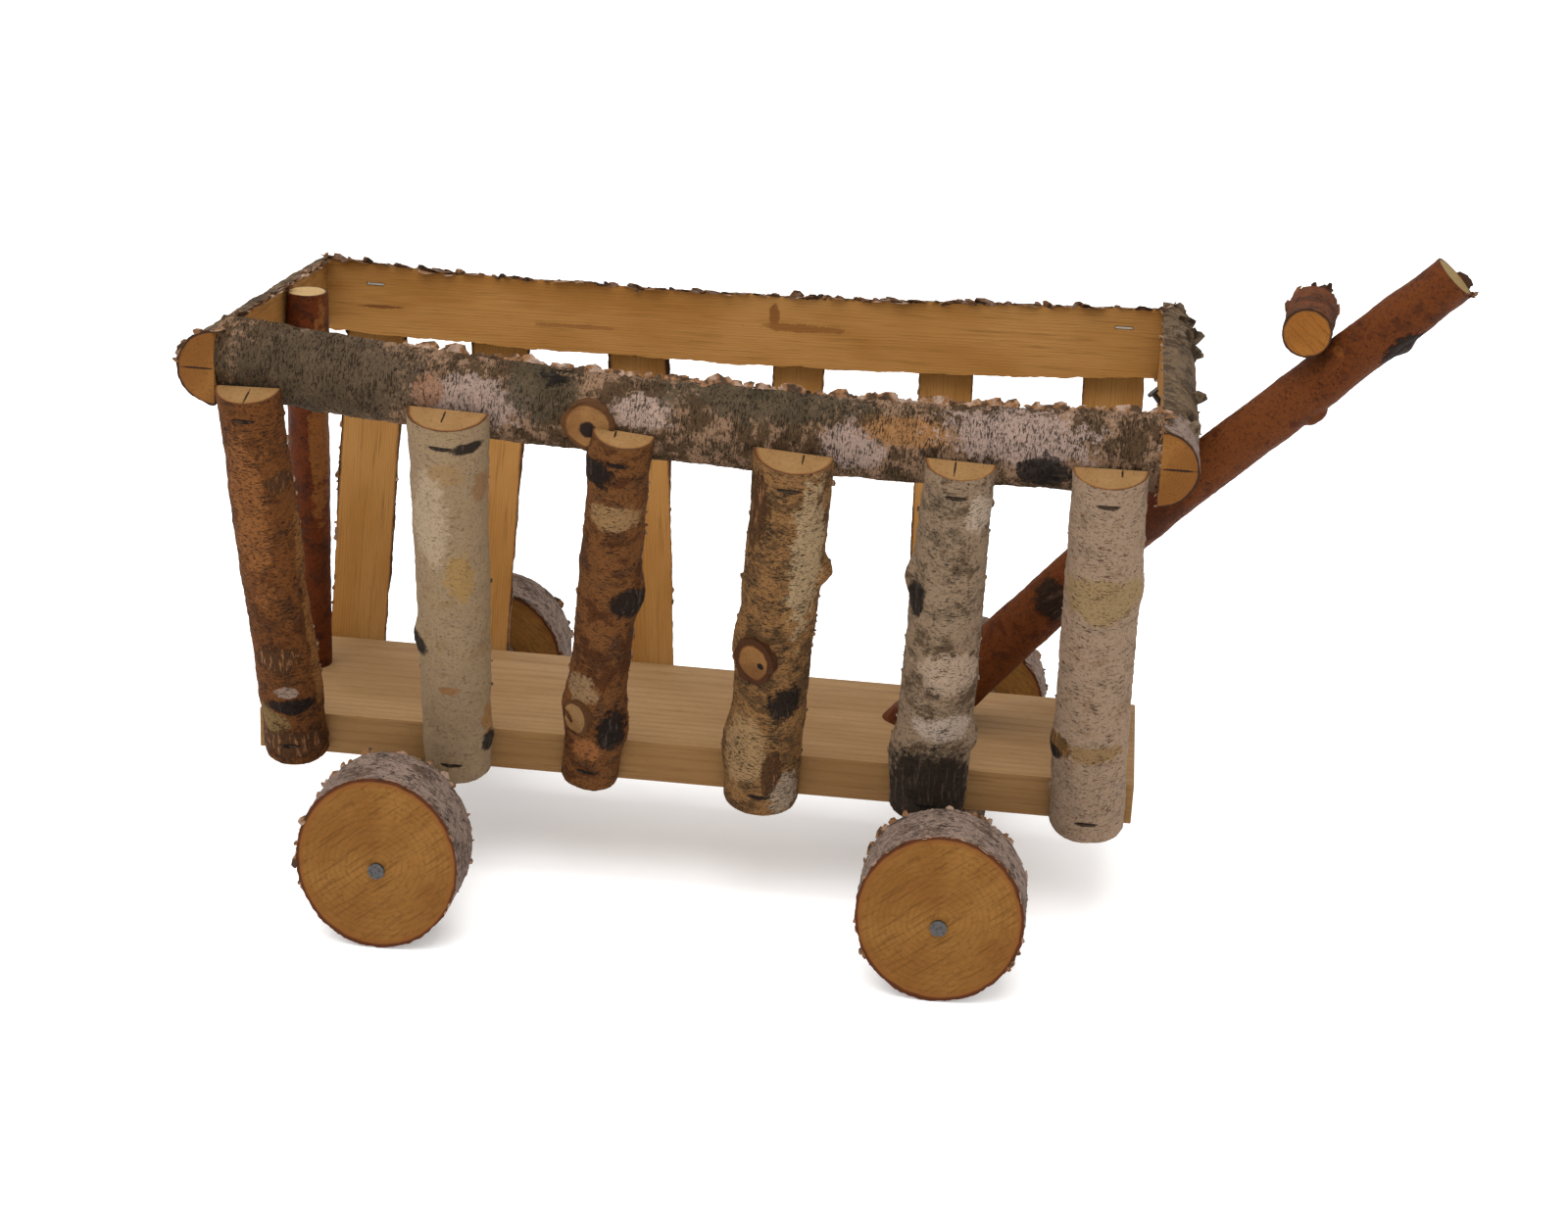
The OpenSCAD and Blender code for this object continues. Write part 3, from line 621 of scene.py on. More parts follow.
def bark(name, middle, turn, light, middle_tone, dark, grey, mottle, dashes, dash_size=330.0,
         spots=(), patches=(), coarse=40.0, gloss=0.8, furrow=0.5, contrast=0.1):
    """Bark: light and middle tones in clouds, dark marks round the branch, knots and patches."""
    finish, tree, shader = start_finish(name)
    place = place_in(tree, middle, turn)
    clouds = noise(tree, stretch(tree, place, (1, 1, 1.5)), coarse, 5.0, 0.62)
    mottles = noise(tree, stretch(tree, place, (1, 1, 1.3)), coarse * 3.6, 6.0, 0.72)
    grit = noise(tree, place, 640.0, 4.0, 0.7)
    both = math_node(tree, "ADD", math_node(tree, "MULTIPLY", clouds, 0.55),
                     math_node(tree, "MULTIPLY", mottles, 0.45))
    start = 0.66 - mottle * 0.3
    tone = blend(tree, ramp(tree, both, start, start + contrast), colour(light), colour(middle_tone))
    lichen = noise(tree, stretch(tree, place, (1, 1, 1.2), (3.1, 1.7, 0.4)), coarse * 1.7, 6.0, 0.7)
    tone = blend(tree, ramp(tree, lichen, 0.5, 0.64, 0.0, 0.8), tone, colour(grey))
    for centre, reach, tint, torn in patches:
        mask = mark_mask(tree, place, centre, reach, torn)
        tone = blend(tree, math_node(tree, "MULTIPLY", mask, 0.85), tone, colour(tint))
    tone = blend(tree, ramp(tree, grit, 0.5, 0.72, 0.0, 0.8), tone, colour(dark))
    amount = math_node(tree, "MULTIPLY", ramp(tree, lichen, 0.3, 0.7, 0.5, 1.3), dashes)
    marks = use(tree, DASHES, {"Place": place, "Size": dash_size, "Amount": amount})["Mask"]
    small = use(tree, DASHES, {"Place": place, "Size": dash_size * 2.3, "Amount": amount})["Mask"]
    tone = blend(tree, math_node(tree, "MULTIPLY", marks, 0.8), tone, colour(dark))
    tone = blend(tree, math_node(tree, "MULTIPLY", small, 0.65), tone, colour(dark))
    streaks = noise(tree, stretch(tree, place, (1, 1, 0.18)), 420.0, 4.0, 0.65)
    rough_height = math_node(tree, "MULTIPLY", mottles, furrow)
    for centre, reach, tint, torn in spots:
        mask = mark_mask(tree, place, centre, reach, torn)
        # The spot's tone streaked lighter; for the slats' staple slits it is painted shadow.
        spot_wear_and_slot_shade = blend(tree, ramp(tree, streaks, 0.52, 0.68), colour(tint),
                     colour([value * 4.5 + 0.003 for value in tint]))
        tone = blend(tree, math_node(tree, "MULTIPLY", mask, 0.93), tone, spot_wear_and_slot_shade)
        deep = math_node(tree, "MULTIPLY", mask, math_node(tree, "MULTIPLY", streaks, 1.6))
        rough_height = math_node(tree, "ADD", rough_height, deep)
    height = math_node(tree, "ADD", math_node(tree, "MULTIPLY", grit, 0.35), rough_height)
    height = math_node(tree, "SUBTRACT", height, math_node(tree, "MULTIPLY", marks, 0.4))
    set_surface(tree, shader, tone, gloss, height, 1.6 * MM, 1.0)
    return finish


def sawn(name, middle, turn, radius, light, dark, edge=(0.03, 0.014, 0.007),
         inner=(0.13, 0.048, 0.013), ring_gap=1.6 * MM, squash=(1, 1, 1), skin=0.93,
         cracks=0.0, crack_across=0.4 * MM, spots=(), saw_marks=0.0):
    """Sawn wood with its grain, and the bark seen as a dark line round its edge."""
    finish, tree, shader = start_finish(name)
    place = place_in(tree, middle, turn)
    grain = use(tree, GRAIN, {"Place": place, "Ring Gap": ring_gap})
    tone = blend(tree, ramp(tree, grain["Clouds"], 0.35, 0.7), colour(light), colour(dark))
    line_tint = colour([value * 0.62 for value in dark])
    tone = blend(tree, ramp(tree, grain["Lines"], 0.5, 0.78, 0.0, 0.75), tone, line_tint)
    tone = blend(tree, math_node(tree, "MULTIPLY", grain["Rings"], 0.2), tone, line_tint)
    if saw_marks:
        turned = add(tree, "ShaderNodeMapping", {"Vector": place, "Rotation": (0, 0, saw_marks),
                                                 "Scale": (14, 1, 1)}, vector_type="TEXTURE")
        strokes = noise(tree, turned.outputs["Vector"], 620.0, 3.0, 0.6)
        tone = blend(tree, ramp(tree, strokes, 0.48, 0.7, 0.0, 0.7), tone, line_tint)
    for centre, reach, tint, torn in spots:
        tone = blend(tree, mark_mask(tree, place, centre, reach, torn), tone, colour(tint))
    wide = combine(tree, "MULTIPLY", place, squash)
    out = length_of(tree, combine(tree, "MULTIPLY", wide, (1, 1, 0)))
    ragged = math_node(tree, "MULTIPLY", noise(tree, place, 160.0, 3.0), 0.0014)
    depth = math_node(tree, "DIVIDE", math_node(tree, "ADD", out, ragged), radius)
    tone = blend(tree, ramp(tree, depth, skin - 0.05, skin - 0.005, 0.0, 0.8), tone, colour(inner))
    tone = blend(tree, ramp(tree, depth, skin, skin + 0.03), tone, colour(edge))
    if cracks:
        mask = mark_mask(tree, place, (crack_across, radius * cracks, 0),
                         (0.6 * MM, radius * cracks, 1), 0.9)
        tone = blend(tree, mask, tone, colour(CRACK))
    height = math_node(tree, "ADD", grain["Lines"], math_node(tree, "MULTIPLY", grain["Rings"], 0.3))
    set_surface(tree, shader, tone, 0.7, height, 0.35 * MM, 0.6)
    return finish


def metal(name, tint, rust):
    finish, tree, shader = start_finish(name)
    place = tree.nodes.new("ShaderNodeTexCoord").outputs["Object"]
    wear = noise(tree, place, 900.0, 4.0)
    tone = blend(tree, ramp(tree, wear, 0.5, 0.75), colour(tint), colour(rust))
    shader.inputs["Metallic"].default_value = 0.85
    set_surface(tree, shader, tone, ramp(tree, wear, 0.3, 0.8, 0.35, 0.65), wear, 0.1 * MM, 0.4)
    return finish


# ---------------------------------------------------------------- logs of the cart

def in_metres(entries, hand=1):
    """Marks in metres. The slats' own across runs the other way, so they take hand -1."""
    scaled = []
    for centre, reach, tint, torn in entries:
        place = (centre[0] * MM * hand, centre[1] * MM, centre[2] * MM)
        scaled.append((place, tuple(value * MM for value in reach), tint, torn))
    return scaled


def flat_corners(node, normal_guess):
    """The corner points of the sawn face of a half-round CAD piece, lowest first."""
    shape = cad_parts[node].data
    facing = {}
    for face in shape.polygons:
        if face.normal.dot(normal_guess) > 0.8:
            key = tuple(round(value, 2) for value in face.normal)
            facing.setdefault(key, [0, []])
            facing[key][0] += face.area
            facing[key][1] += [shape.vertices[index].co.copy() for index in face.vertices]
    corners = max(facing.values(), key=lambda entry: entry[0])[1]
    return sorted(corners, key=lambda corner: corner.z)


def slat_ends(node, outward_sign):
    """The left and right corner of a slat's sawn face, at its foot and at its top."""
    corners = flat_corners(node, Vector((0, -outward_sign, 0)))
    above_foot = corners[0].z + 20 * MM
    ends = []
    for level in ([corner for corner in corners if corner.z < above_foot],
                  [corner for corner in corners if corner.z > above_foot]):
        ends.append((min(level, key=lambda corner: corner.x),
                     max(level, key=lambda corner: corner.x)))
    return ends


def make_slat(side, number, outward_sign):
    node = f"{side}_slat_{number}"
    (foot_left, foot_right), (top_left, top_right) = slat_ends(node, outward_sign)
    low_end = (foot_left + foot_right) / 2
    high_end = (top_left + top_right) / 2
    radii = ((foot_right - foot_left).length / 2, (top_right - top_left).length / 2)
    along = (high_end - low_end).normalized()
    outward = along.cross((foot_right - foot_left).normalized()).normalized()
    if outward.y * outward_sign < 0:
        outward = -outward
    across = outward.cross(along)
    turn = turn_to(across, outward, along)
    middle = (low_end + high_end) / 2
    slat = grow_branch(node + "_log", low_end, high_end, radii, turn)
    add_relief(slat, "slat")
    index = number - 1
    if side == "near":
        for place, push, reach in NEAR_BUMPS[index]:
            spot = middle - across * place[0] * MM + outward * place[1] * MM + along * place[2] * MM
            swell(slat, spot, -across * push[0] * MM + outward * push[1] * MM, reach * MM)
        look = NEAR_BARK[index]
        spots = in_metres(NEAR_SPOTS[index], -1)
        patches = in_metres(NEAR_PATCHES[index], -1)
    else:
        look = NEAR_BARK[(index * 2 + 3) % 6]
        spots = in_metres(NEAR_SPOTS[(index + 2) % 6], -1)[:2]
        patches = in_metres(NEAR_PATCHES[(index + 4) % 6], -1)
    half = (high_end - low_end).length / 2
    # Painted shadow: a thin black slit on the bark over each staple, where it sinks in.
    for height in (STAPLE_FOOT - half, half - STAPLE_TOP):
        spots.append(((0, radii[0], height), (6.5 * MM, 12 * MM, 1.3 * MM), BLACK, 0.3))
    saw(slat, middle, -outward, FLAT)
    saw(slat, low_end, -along, END)
    saw(slat, high_end, along, END)
    crack, crack_across = END_CRACKS[index]
    finish_off(slat, "cart", "slat_bark", node,
               bark(node + "_bark", middle, turn, spots=spots, patches=patches, **look),
               sawn(node + "_flat", middle, turn, sum(radii) / 2, WOOD_LIGHT, WOOD_DARK, skin=0.95),
               sawn(node + "_end", middle, turn, radii[1], END_LIGHT, END_DARK, cracks=crack,
                    crack_across=crack_across * MM, edge=(0.055, 0.024, 0.01), skin=0.94))
    if side == "near" and number in SLAT_KNOTS:
        make_sawn_knot(node + "_sawn_knot", "slat_bark", middle, turn, sum(radii) / 2 + 0.9 * MM,
                       *SLAT_KNOTS[number])
    return slat


def make_side_rail(node, side, heights, sag, spots, patches):
    low_end = Vector((RIM_X - SIDE_RAIL_HALF, side * SIDE_RAIL_AXIS_Y, heights[0]))
    high_end = Vector((RIM_X + SIDE_RAIL_HALF, side * SIDE_RAIL_AXIS_Y, heights[1]))
    along = (high_end - low_end).normalized()
    outward = Vector((0, side, 0))
    turn = turn_to(outward.cross(along), outward, along)
    middle = (low_end + high_end) / 2
    rail = grow_branch(node + "_log", low_end, high_end, (SIDE_RAIL_RADIUS, SIDE_RAIL_RADIUS), turn,
                       sides=112, overrun=2 * MM)
    bend(rail, middle, along, Vector((0, 0, -sag)), "INVERSE_SQUARE", SIDE_RAIL_HALF)
    add_relief(rail, "side_rail")
    saw(rail, Vector((0, side * SIDE_RAIL_FLAT_Y, 0)), Vector((0, -side, 0)), FLAT)
    saw(rail, low_end, -X_AXIS, END)
    saw(rail, high_end, X_AXIS, END)
    if side > 0:
        open_staple_slots(rail)
    finish_off(rail, "cart", "rail_bark", node,
               bark(node + "_bark", middle, turn, spots=in_metres(spots), patches=in_metres(patches),
                    **RAIL_BARK),
               sawn(node + "_flat", middle, turn, SIDE_RAIL_RADIUS * 1.6, WOOD_LIGHT, WOOD_DARK,
                    skin=0.99, spots=in_metres(RAIL_FIGURE)),
               sawn(node + "_end", middle, turn, SIDE_RAIL_RADIUS, WOOD_LIGHT, WOOD_DARK))
    if side < 0:
        sag_here = Vector((0, 0, -sag * (1 - (RAIL_KNOT[0][1] / SIDE_RAIL_HALF) ** 2)))
        make_sawn_knot(node + "_sawn_knot", "rail_bark", middle + sag_here, turn,
                       SIDE_RAIL_RADIUS + 0.5 * MM, *RAIL_KNOT)
    return rail


def open_staple_slots(rail):
    """Small slots in the far rail's sawn face, so that the staples sunk in it show."""
    corners = [vertex.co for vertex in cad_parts["far_rail_staples"].data.vertices]
    crown_y = min(corner.y for corner in corners)
    crowns = {}
    for corner in corners:
        if corner.y < crown_y + 2 * MM:
            crowns.setdefault(round(corner.x / (60 * MM)), []).append(corner)
    middles = []
    cutters = []
    for crown in crowns.values():
        middle = sum(crown, Vector()) / len(crown)
        wide = max(corner.x for corner in crown) - min(corner.x for corner in crown)
        bpy.ops.mesh.primitive_cube_add(size=1, location=(middle.x, crown_y, middle.z),
                                        scale=(wide + 0.8 * MM, 2.4 * MM, 2.2 * MM))
        middles.append(middle)
        cutters.append(bpy.context.object)
    cut_away(rail, join_all(cutters))
    for middle in middles:
        for face in rail.data.polygons:
            away = face.center - middle
            if abs(away.x) < 7 * MM and abs(away.y) < 3 * MM and abs(away.z) < 1.4 * MM:
                face.material_index = FLAT


def make_end_rail(node, side, heights, patches):
    low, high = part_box(node)
    low_end = Vector((RIM_X + side * END_RAIL_AXIS, low.y, heights[0]))
    high_end = Vector((RIM_X + side * END_RAIL_AXIS, high.y, heights[1]))
    along = (high_end - low_end).normalized()
    outward = Vector((side, 0, 0))
    turn = turn_to(outward.cross(along), outward, along)
    middle = (low_end + high_end) / 2
    rail = grow_branch(node + "_log", low_end, high_end, (END_RAIL_RADIUS, END_RAIL_RADIUS), turn)
    add_relief(rail, "end_rail")
    saw(rail, Vector((RIM_X + side * END_RAIL_FLAT, 0, 0)), Vector((-side, 0, 0)), FLAT)
    saw(rail, low_end, -Y_AXIS, END)
    saw(rail, high_end, Y_AXIS, END)
    finish_off(rail, "cart", "end_rail_bark", node,
               bark(node + "_bark", middle, turn, patches=in_metres(patches), **END_BARK),
               sawn(node + "_flat", middle, turn, END_RAIL_RADIUS, WOOD_LIGHT, WOOD_DARK),
               sawn(node + "_end", middle, turn, END_RAIL_RADIUS, (0.19, 0.082, 0.02),
                    (0.13, 0.05, 0.011), cracks=0.46, skin=0.93))
    return rail


def make_wheel(name):
    low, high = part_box(name)
    middle = (low + high) / 2
    side = math.copysign(1, middle.y)
    radius = (high.z - low.z) / 2
    along = Vector((0, side, 0))
    across = Vector((side, 0, 0))
    turn = turn_to(across, along.cross(across), along)
    inner_face = Vector((middle.x, low.y if side > 0 else high.y, middle.z))
    outer_face = Vector((middle.x, high.y if side > 0 else low.y, middle.z))
    wheel = grow_branch(name + "_slice", inner_face, outer_face, (radius, radius), turn,
                        sides=224, overrun=4 * MM, step=1.4 * MM)
    wide = 2 * radius / (high.x - low.x)
    choose(wheel, "VERT", lambda vertex: True)
    bpy.ops.transform.resize(value=((high.x - low.x) / (2 * radius), 1, 1), center_override=middle)
    bpy.ops.object.mode_set(mode="OBJECT")
    add_relief(wheel, "wheel")
    saw(wheel, inner_face, -along, FLAT)
    saw(wheel, outer_face, along, FLAT)
    finish_off(wheel, name, "log_slice", name,
               bark(name + "_tread", middle, turn, **TREAD_BARK),
               sawn(name + "_face", middle, turn, radius, (0.185, 0.084, 0.02), (0.14, 0.057, 0.012),
                    edge=(0.06, 0.018, 0.007), inner=(0.15, 0.055, 0.013), ring_gap=3.2 * MM,
                    squash=(wide, 1, 1), skin=0.945, saw_marks=math.radians(38)))
    return wheel


def make_beam(node):
    """A branch under the floor board, sawn flat on top, and lower beyond the board's edges."""
    low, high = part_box(node)
    board_low, board_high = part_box("floor_board")
    height = high.z - BEAM_FLAT
    low_end = Vector(((low.x + high.x) / 2, low.y, height))
    high_end = Vector((low_end.x, high.y, height))
    turn = turn_to(Z_AXIS, X_AXIS, Y_AXIS)
    middle = (low_end + high_end) / 2
    beam = grow_branch(node + "_log", low_end, high_end, (BEAM_RADIUS, BEAM_RADIUS), turn,
                       sides=80, step=2 * MM)
    add_relief(beam, "beam")
    dress(beam, bark(node + "_bark", middle, turn, **RAIL_BARK),
          sawn(node + "_wood", middle, turn, BEAM_RADIUS, WOOD_LIGHT, WOOD_DARK))
    saw(beam, Vector((0, 0, high.z)), Z_AXIS, FLAT)
    saw(beam, low_end, -Y_AXIS, FLAT)
    saw(beam, high_end, Y_AXIS, FLAT)
    for side, edge in ((-1, board_low.y), (1, board_high.y)):
        bpy.ops.mesh.primitive_cube_add(
            size=1, location=(low_end.x, edge + side * BEAM_STEP_REACH / 2, high.z),
            scale=(BEAM_STEP_WIDTH, BEAM_STEP_REACH, 2 * BEAM_SHOULDER))
        cut_away(beam, bpy.context.object)
    round_off(beam)
    hand_over(beam, "cart", "beam_bark", node)


def make_handle():
    along = (HANDLE_TIP - HANDLE_FOOT).normalized()
    across = Vector((math.sin(HANDLE_TURN), math.cos(HANDLE_TURN), 0))
    outward = along.cross(across)
    turn = turn_to(across, outward, along)
    middle = (HANDLE_FOOT + HANDLE_TIP) / 2
    branch = grow_branch("handle_branch", HANDLE_FOOT, HANDLE_TIP, HANDLE_RADII, turn,
                         sides=84, overrun=20 * MM)
    on_line = HANDLE_FOOT + along * (HANDLE_BEND - HANDLE_FOOT).dot(along)
    half = (HANDLE_TIP - HANDLE_FOOT).length / 2
    bend(branch, on_line, along, HANDLE_BEND - on_line, "LINEAR", half)
    add_relief(branch, "handle")
    for distance, push, reach, falloff in HANDLE_BUMPS:
        underside = HANDLE_FOOT + along * distance * MM - outward * HANDLE_RADII[1]
        swell(branch, underside, -outward * push * MM, reach * MM, falloff)
    saw(branch, HANDLE_FOOT, -Z_AXIS, FLAT)
    saw(branch, HANDLE_TIP, along, FLAT)
    finish_off(branch, "cart", "handle_bark", "handle",
               bark("handle_bark", middle, turn, spots=in_metres(HANDLE_SPOTS),
                    patches=in_metres(HANDLE_PATCHES), **HANDLE_BARK),
               sawn("handle_tip_wood", middle, turn, HANDLE_RADII[1], (0.2, 0.135, 0.05),
                    (0.15, 0.095, 0.03), skin=0.9))
    return branch


def make_crossbar():
    along = Vector((math.sin(HANDLE_TURN), math.cos(HANDLE_TURN), 0))
    across = Vector((math.cos(HANDLE_TURN), -math.sin(HANDLE_TURN), 0))
    turn = turn_to(across, along.cross(across), along)
    near_end = CROSSBAR_MIDDLE - along * CROSSBAR_LENGTH / 2
    far_end = CROSSBAR_MIDDLE + along * CROSSBAR_LENGTH / 2
    bar = grow_branch("crossbar_branch", near_end, far_end, (CROSSBAR_RADIUS, CROSSBAR_RADIUS), turn,
                      sides=84, step=1.1 * MM)
    add_relief(bar, "crossbar")
    saw(bar, near_end, -along, FLAT)
    saw(bar, far_end, along, FLAT)
    finish_off(bar, "cart", "handle_bark", "crossbar",
               bark("crossbar_bark", CROSSBAR_MIDDLE, turn, **CROSSBAR_BARK),
               sawn("crossbar_wood", CROSSBAR_MIDDLE, turn, CROSSBAR_RADIUS, (0.23, 0.09, 0.018),
                    (0.18, 0.065, 0.012), skin=0.93, saw_marks=math.radians(40)))
    return bar


def make_post():
    low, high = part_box("corner_post")
    middle = (low + high) / 2
    radius = (high.x - low.x) / 2
    foot = Vector((middle.x, middle.y, low.z))
    top = Vector((middle.x, middle.y, high.z))
    turn = turn_to(X_AXIS, Y_AXIS, Z_AXIS)
    post = grow_branch("corner_post_branch", foot, top, (radius, radius), turn, sides=80)
    add_relief(post, "post")
    saw(post, foot, -Z_AXIS, FLAT)
    saw(post, top, Z_AXIS, FLAT)
    finish_off(post, "cart", "post_bark", "corner_post",
               bark("post_bark", middle, turn, patches=in_metres(POST_PATCHES), **POST_BARK),
               sawn("post_top_wood", middle, turn, radius, (0.33, 0.22, 0.1), (0.26, 0.16, 0.065),
                    skin=0.9))


def pine_finish(middle):
    """Sawn pine with flat growth rings, and a painted shade a little darker on the board's edges."""
    finish, tree, shader = start_finish("pine_board")
    heart = middle + Vector((0, 0.09, -0.13))
    place = place_in(tree, heart, turn_to(Y_AXIS, Z_AXIS, X_AXIS))
    grain = use(tree, GRAIN, {"Place": place, "Ring Gap": 4.2 * MM})
    tone = blend(tree, ramp(tree, grain["Clouds"], 0.35, 0.7), colour((0.25, 0.15, 0.07)),
                 colour((0.205, 0.117, 0.05)))
    rings = math_node(tree, "MULTIPLY", grain["Rings"], 0.35)
    tone = blend(tree, rings, tone, colour((0.165, 0.085, 0.034)))
    tone = blend(tree, ramp(tree, grain["Lines"], 0.52, 0.78, 0.0, 0.7), tone,
                 colour((0.12, 0.065, 0.028)))
    # Painted shade: faces turned sideways are multiplied darker and more orange than the top.
    facing = tree.nodes.new("ShaderNodeNewGeometry").outputs["Normal"]
    upward = add(tree, "ShaderNodeSeparateXYZ", {0: facing}).outputs["Z"]
    on_edge = ramp(tree, upward, 0.7, 0.3)
    painted_side_shade = blend(tree, 1.0, tone, colour((0.86, 0.79, 0.68)), "MULTIPLY")
    tone = blend(tree, on_edge, tone, painted_side_shade)
    speckle = noise(tree, stretch(tree, place, (1, 1, 0.2)), 900.0, 3.0, 0.6)
    tone = blend(tree, ramp(tree, speckle, 0.56, 0.72, 0.0, 0.45), tone, colour((0.14, 0.068, 0.028)))
    set_surface(tree, shader, tone, 0.72, grain["Lines"], 0.5 * MM, 0.6)
    return finish


def make_board():
    low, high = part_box("floor_board")
    middle = (low + high) / 2
    bpy.ops.mesh.primitive_cube_add(size=1, location=middle, scale=high - low)
    board = bpy.context.object
    board.name = "sawn_board"
    fix_place(board)
    choose(board, "EDGE", lambda edge: True)
    bpy.ops.mesh.bevel(offset=0.7 * MM, segments=2, affect="EDGES")
    bpy.ops.object.mode_set(mode="OBJECT")
    finish_off(board, "cart", "sawn_board", "floor_board", pine_finish(middle))


# ---------------------------------------------------------------- knots and torn bark

def make_sawn_knot(name, slot, middle, turn, radius, place, size, wood):
    """The sawn stub of a side branch, a little proud of the bark round it."""
    axes = turn.to_matrix()
    across, outward, along = axes.col[0], axes.col[1], axes.col[2]
    high = math.sqrt(radius ** 2 - place[0] ** 2)
    point = middle + across * place[0] + outward * high + along * place[1]
    facing = (across * place[0] + outward * high).normalized()
    own_turn = turn_to(along.cross(facing), along, facing)
    bpy.ops.mesh.primitive_cylinder_add(vertices=48, radius=0.5, depth=8 * MM, rotation=own_turn,
                                        location=point - facing * 2.4 * MM)
    knot = bpy.context.object
    knot.name = name
    knot.scale = (size[0], size[1], 1)
    fix_place(knot)
    choose(knot, "FACE", lambda face: face.normal.dot(facing) > 0.9)
    bpy.ops.mesh.inset(thickness=2.2 * MM)
    bpy.ops.transform.translate(value=facing * 0.5 * MM)
    bpy.ops.mesh.inset(thickness=2.0 * MM)
    bpy.ops.object.mode_set(mode="OBJECT")
    choose(knot, "EDGE", lambda edge: True)
    bpy.ops.mesh.subdivide(number_cuts=2)
    bpy.ops.object.mode_set(mode="OBJECT")
    roughen(knot, 12 * MM, 5 * MM)
    roughen(knot, 3.5 * MM, 1.2 * MM)
    dress(knot, sawn(name + "_wood", point, own_turn, size[0] / 2, ring_gap=1.3 * MM,
                     squash=(1, size[0] / size[1], 1), **wood))
    round_off(knot, 60)
    hand_over(knot, "cart", slot)


def torn_bark_finish(name, outside, between, inside):
    finish, tree, shader = start_finish(name)
    place = tree.nodes.new("ShaderNodeTexCoord").outputs["Object"]
    which = noise(tree, place, 130.0, 2.0)
    tone = blend(tree, ramp(tree, which, 0.42, 0.5), colour(outside), colour(between))
    tone = blend(tree, ramp(tree, which, 0.5, 0.6), tone, colour(inside))
    fine = noise(tree, place, 900.0, 3.0)
    tone = blend(tree, ramp(tree, fine, 0.5, 0.7, 0.0, 0.5), tone, colour((0.03, 0.018, 0.012)))
    set_surface(tree, shader, tone, 0.8, fine, 0.3 * MM, 0.8)
    return finish


def cut_flake(name):
    """One small curled chip of bark, a unit long, with a thickness."""
    bpy.ops.mesh.primitive_grid_add(x_subdivisions=2, y_subdivisions=3, size=1)
    chip = bpy.context.object
    chip.name = name
    choose(chip, "VERT", lambda vertex: vertex.co.y > 0.4)
    bpy.ops.transform.translate(value=(0.1, 0, 0.34))
    bpy.ops.transform.resize(value=(0.45, 1, 1))
    bpy.ops.object.mode_set(mode="OBJECT")
    choose(chip, "VERT", lambda vertex: 0.1 < vertex.co.y < 0.3)
    bpy.ops.transform.translate(value=(-0.06, 0, 0.1))
    bpy.ops.object.mode_set(mode="OBJECT")
    choose(chip, "VERT", lambda vertex: vertex.co.y < -0.4 and vertex.co.x > 0)
    bpy.ops.transform.translate(value=(-0.1, 0.14, 0))
    bpy.ops.object.mode_set(mode="OBJECT")
    bpy.ops.object.modifier_add(type="SOLIDIFY")
    chip.modifiers[-1].thickness = 0.13
    bpy.ops.object.modifier_apply(modifier=chip.modifiers[-1].name)
    return chip


def torn_edge(piece):
    """Where bark meets sawn wood: each point, with the ways that bark and wood face there."""
    shape = piece.data
    bark_facing = {}
    wood_facing = {}
    for face in shape.polygons:
        store = bark_facing if face.material_index == BARK else wood_facing
        for index in face.vertices:
            store[index] = store.get(index, Vector()) + face.normal
    points = []
    for index, facing in bark_facing.items():
        if index in wood_facing:
            points.append((shape.vertices[index].co.copy(), facing.normalized(),
                           wood_facing[index].normalized()))
    return points


def skin_points(piece):
    """Points all over the bark, each with the way it faces, twice."""
    points = []
    for face in piece.data.polygons:
        if face.material_index == BARK:
            points.append((face.center.copy(), face.normal.copy(), face.normal.copy()))
    return points


def scatter_flakes(piece, body, slot, count, size, wanted, seed, source=None, finish=None):
    """Stand loose chips of bark on the wanted points, and join them into one piece."""
    chance = random.Random(seed)
    points = [entry for entry in source or torn_edge(piece) if wanted(entry)]
    flakes = []
    for place, bark_way, wood_way in chance.sample(points, min(count, len(points))):
        lean = Vector((chance.uniform(-1, 1), chance.uniform(-1, 1), chance.uniform(-1, 1)))
        out = (bark_way * 0.35 + wood_way * 0.75 + lean * 0.55).normalized()
        flat = (bark_way - out * bark_way.dot(out) + lean * 0.2)
        flat = (flat - out * flat.dot(out)).normalized()
        long = size * chance.uniform(0.2, 1.0) ** 1.6 + 0.8 * MM
        wide = long * chance.uniform(0.6, 2.2)
        thick = min(long * 0.7, 2.2 * MM)
        flake = FLAKE.copy()
        flake.data = FLAKE.data.copy()
        flake.matrix_world = (Matrix.Translation(place - bark_way * 0.3 * MM + out * long * 0.2)
                              @ Matrix((out.cross(flat), out, flat)).transposed().to_4x4()
                              @ Matrix.Diagonal((wide, long, thick, 1)))
        bpy.context.collection.objects.link(flake)
        flakes.append(flake)
    joined = join_all(flakes)
    log_name = piece.name.replace("_log", "").replace("_slice", "")
    joined.name = log_name + ("_curls" if source else "_flakes")
    fix_place(joined)
    dress(joined, finish or TORN_BARK)
    hand_over(joined, body, slot)


# ---------------------------------------------------------------- studio

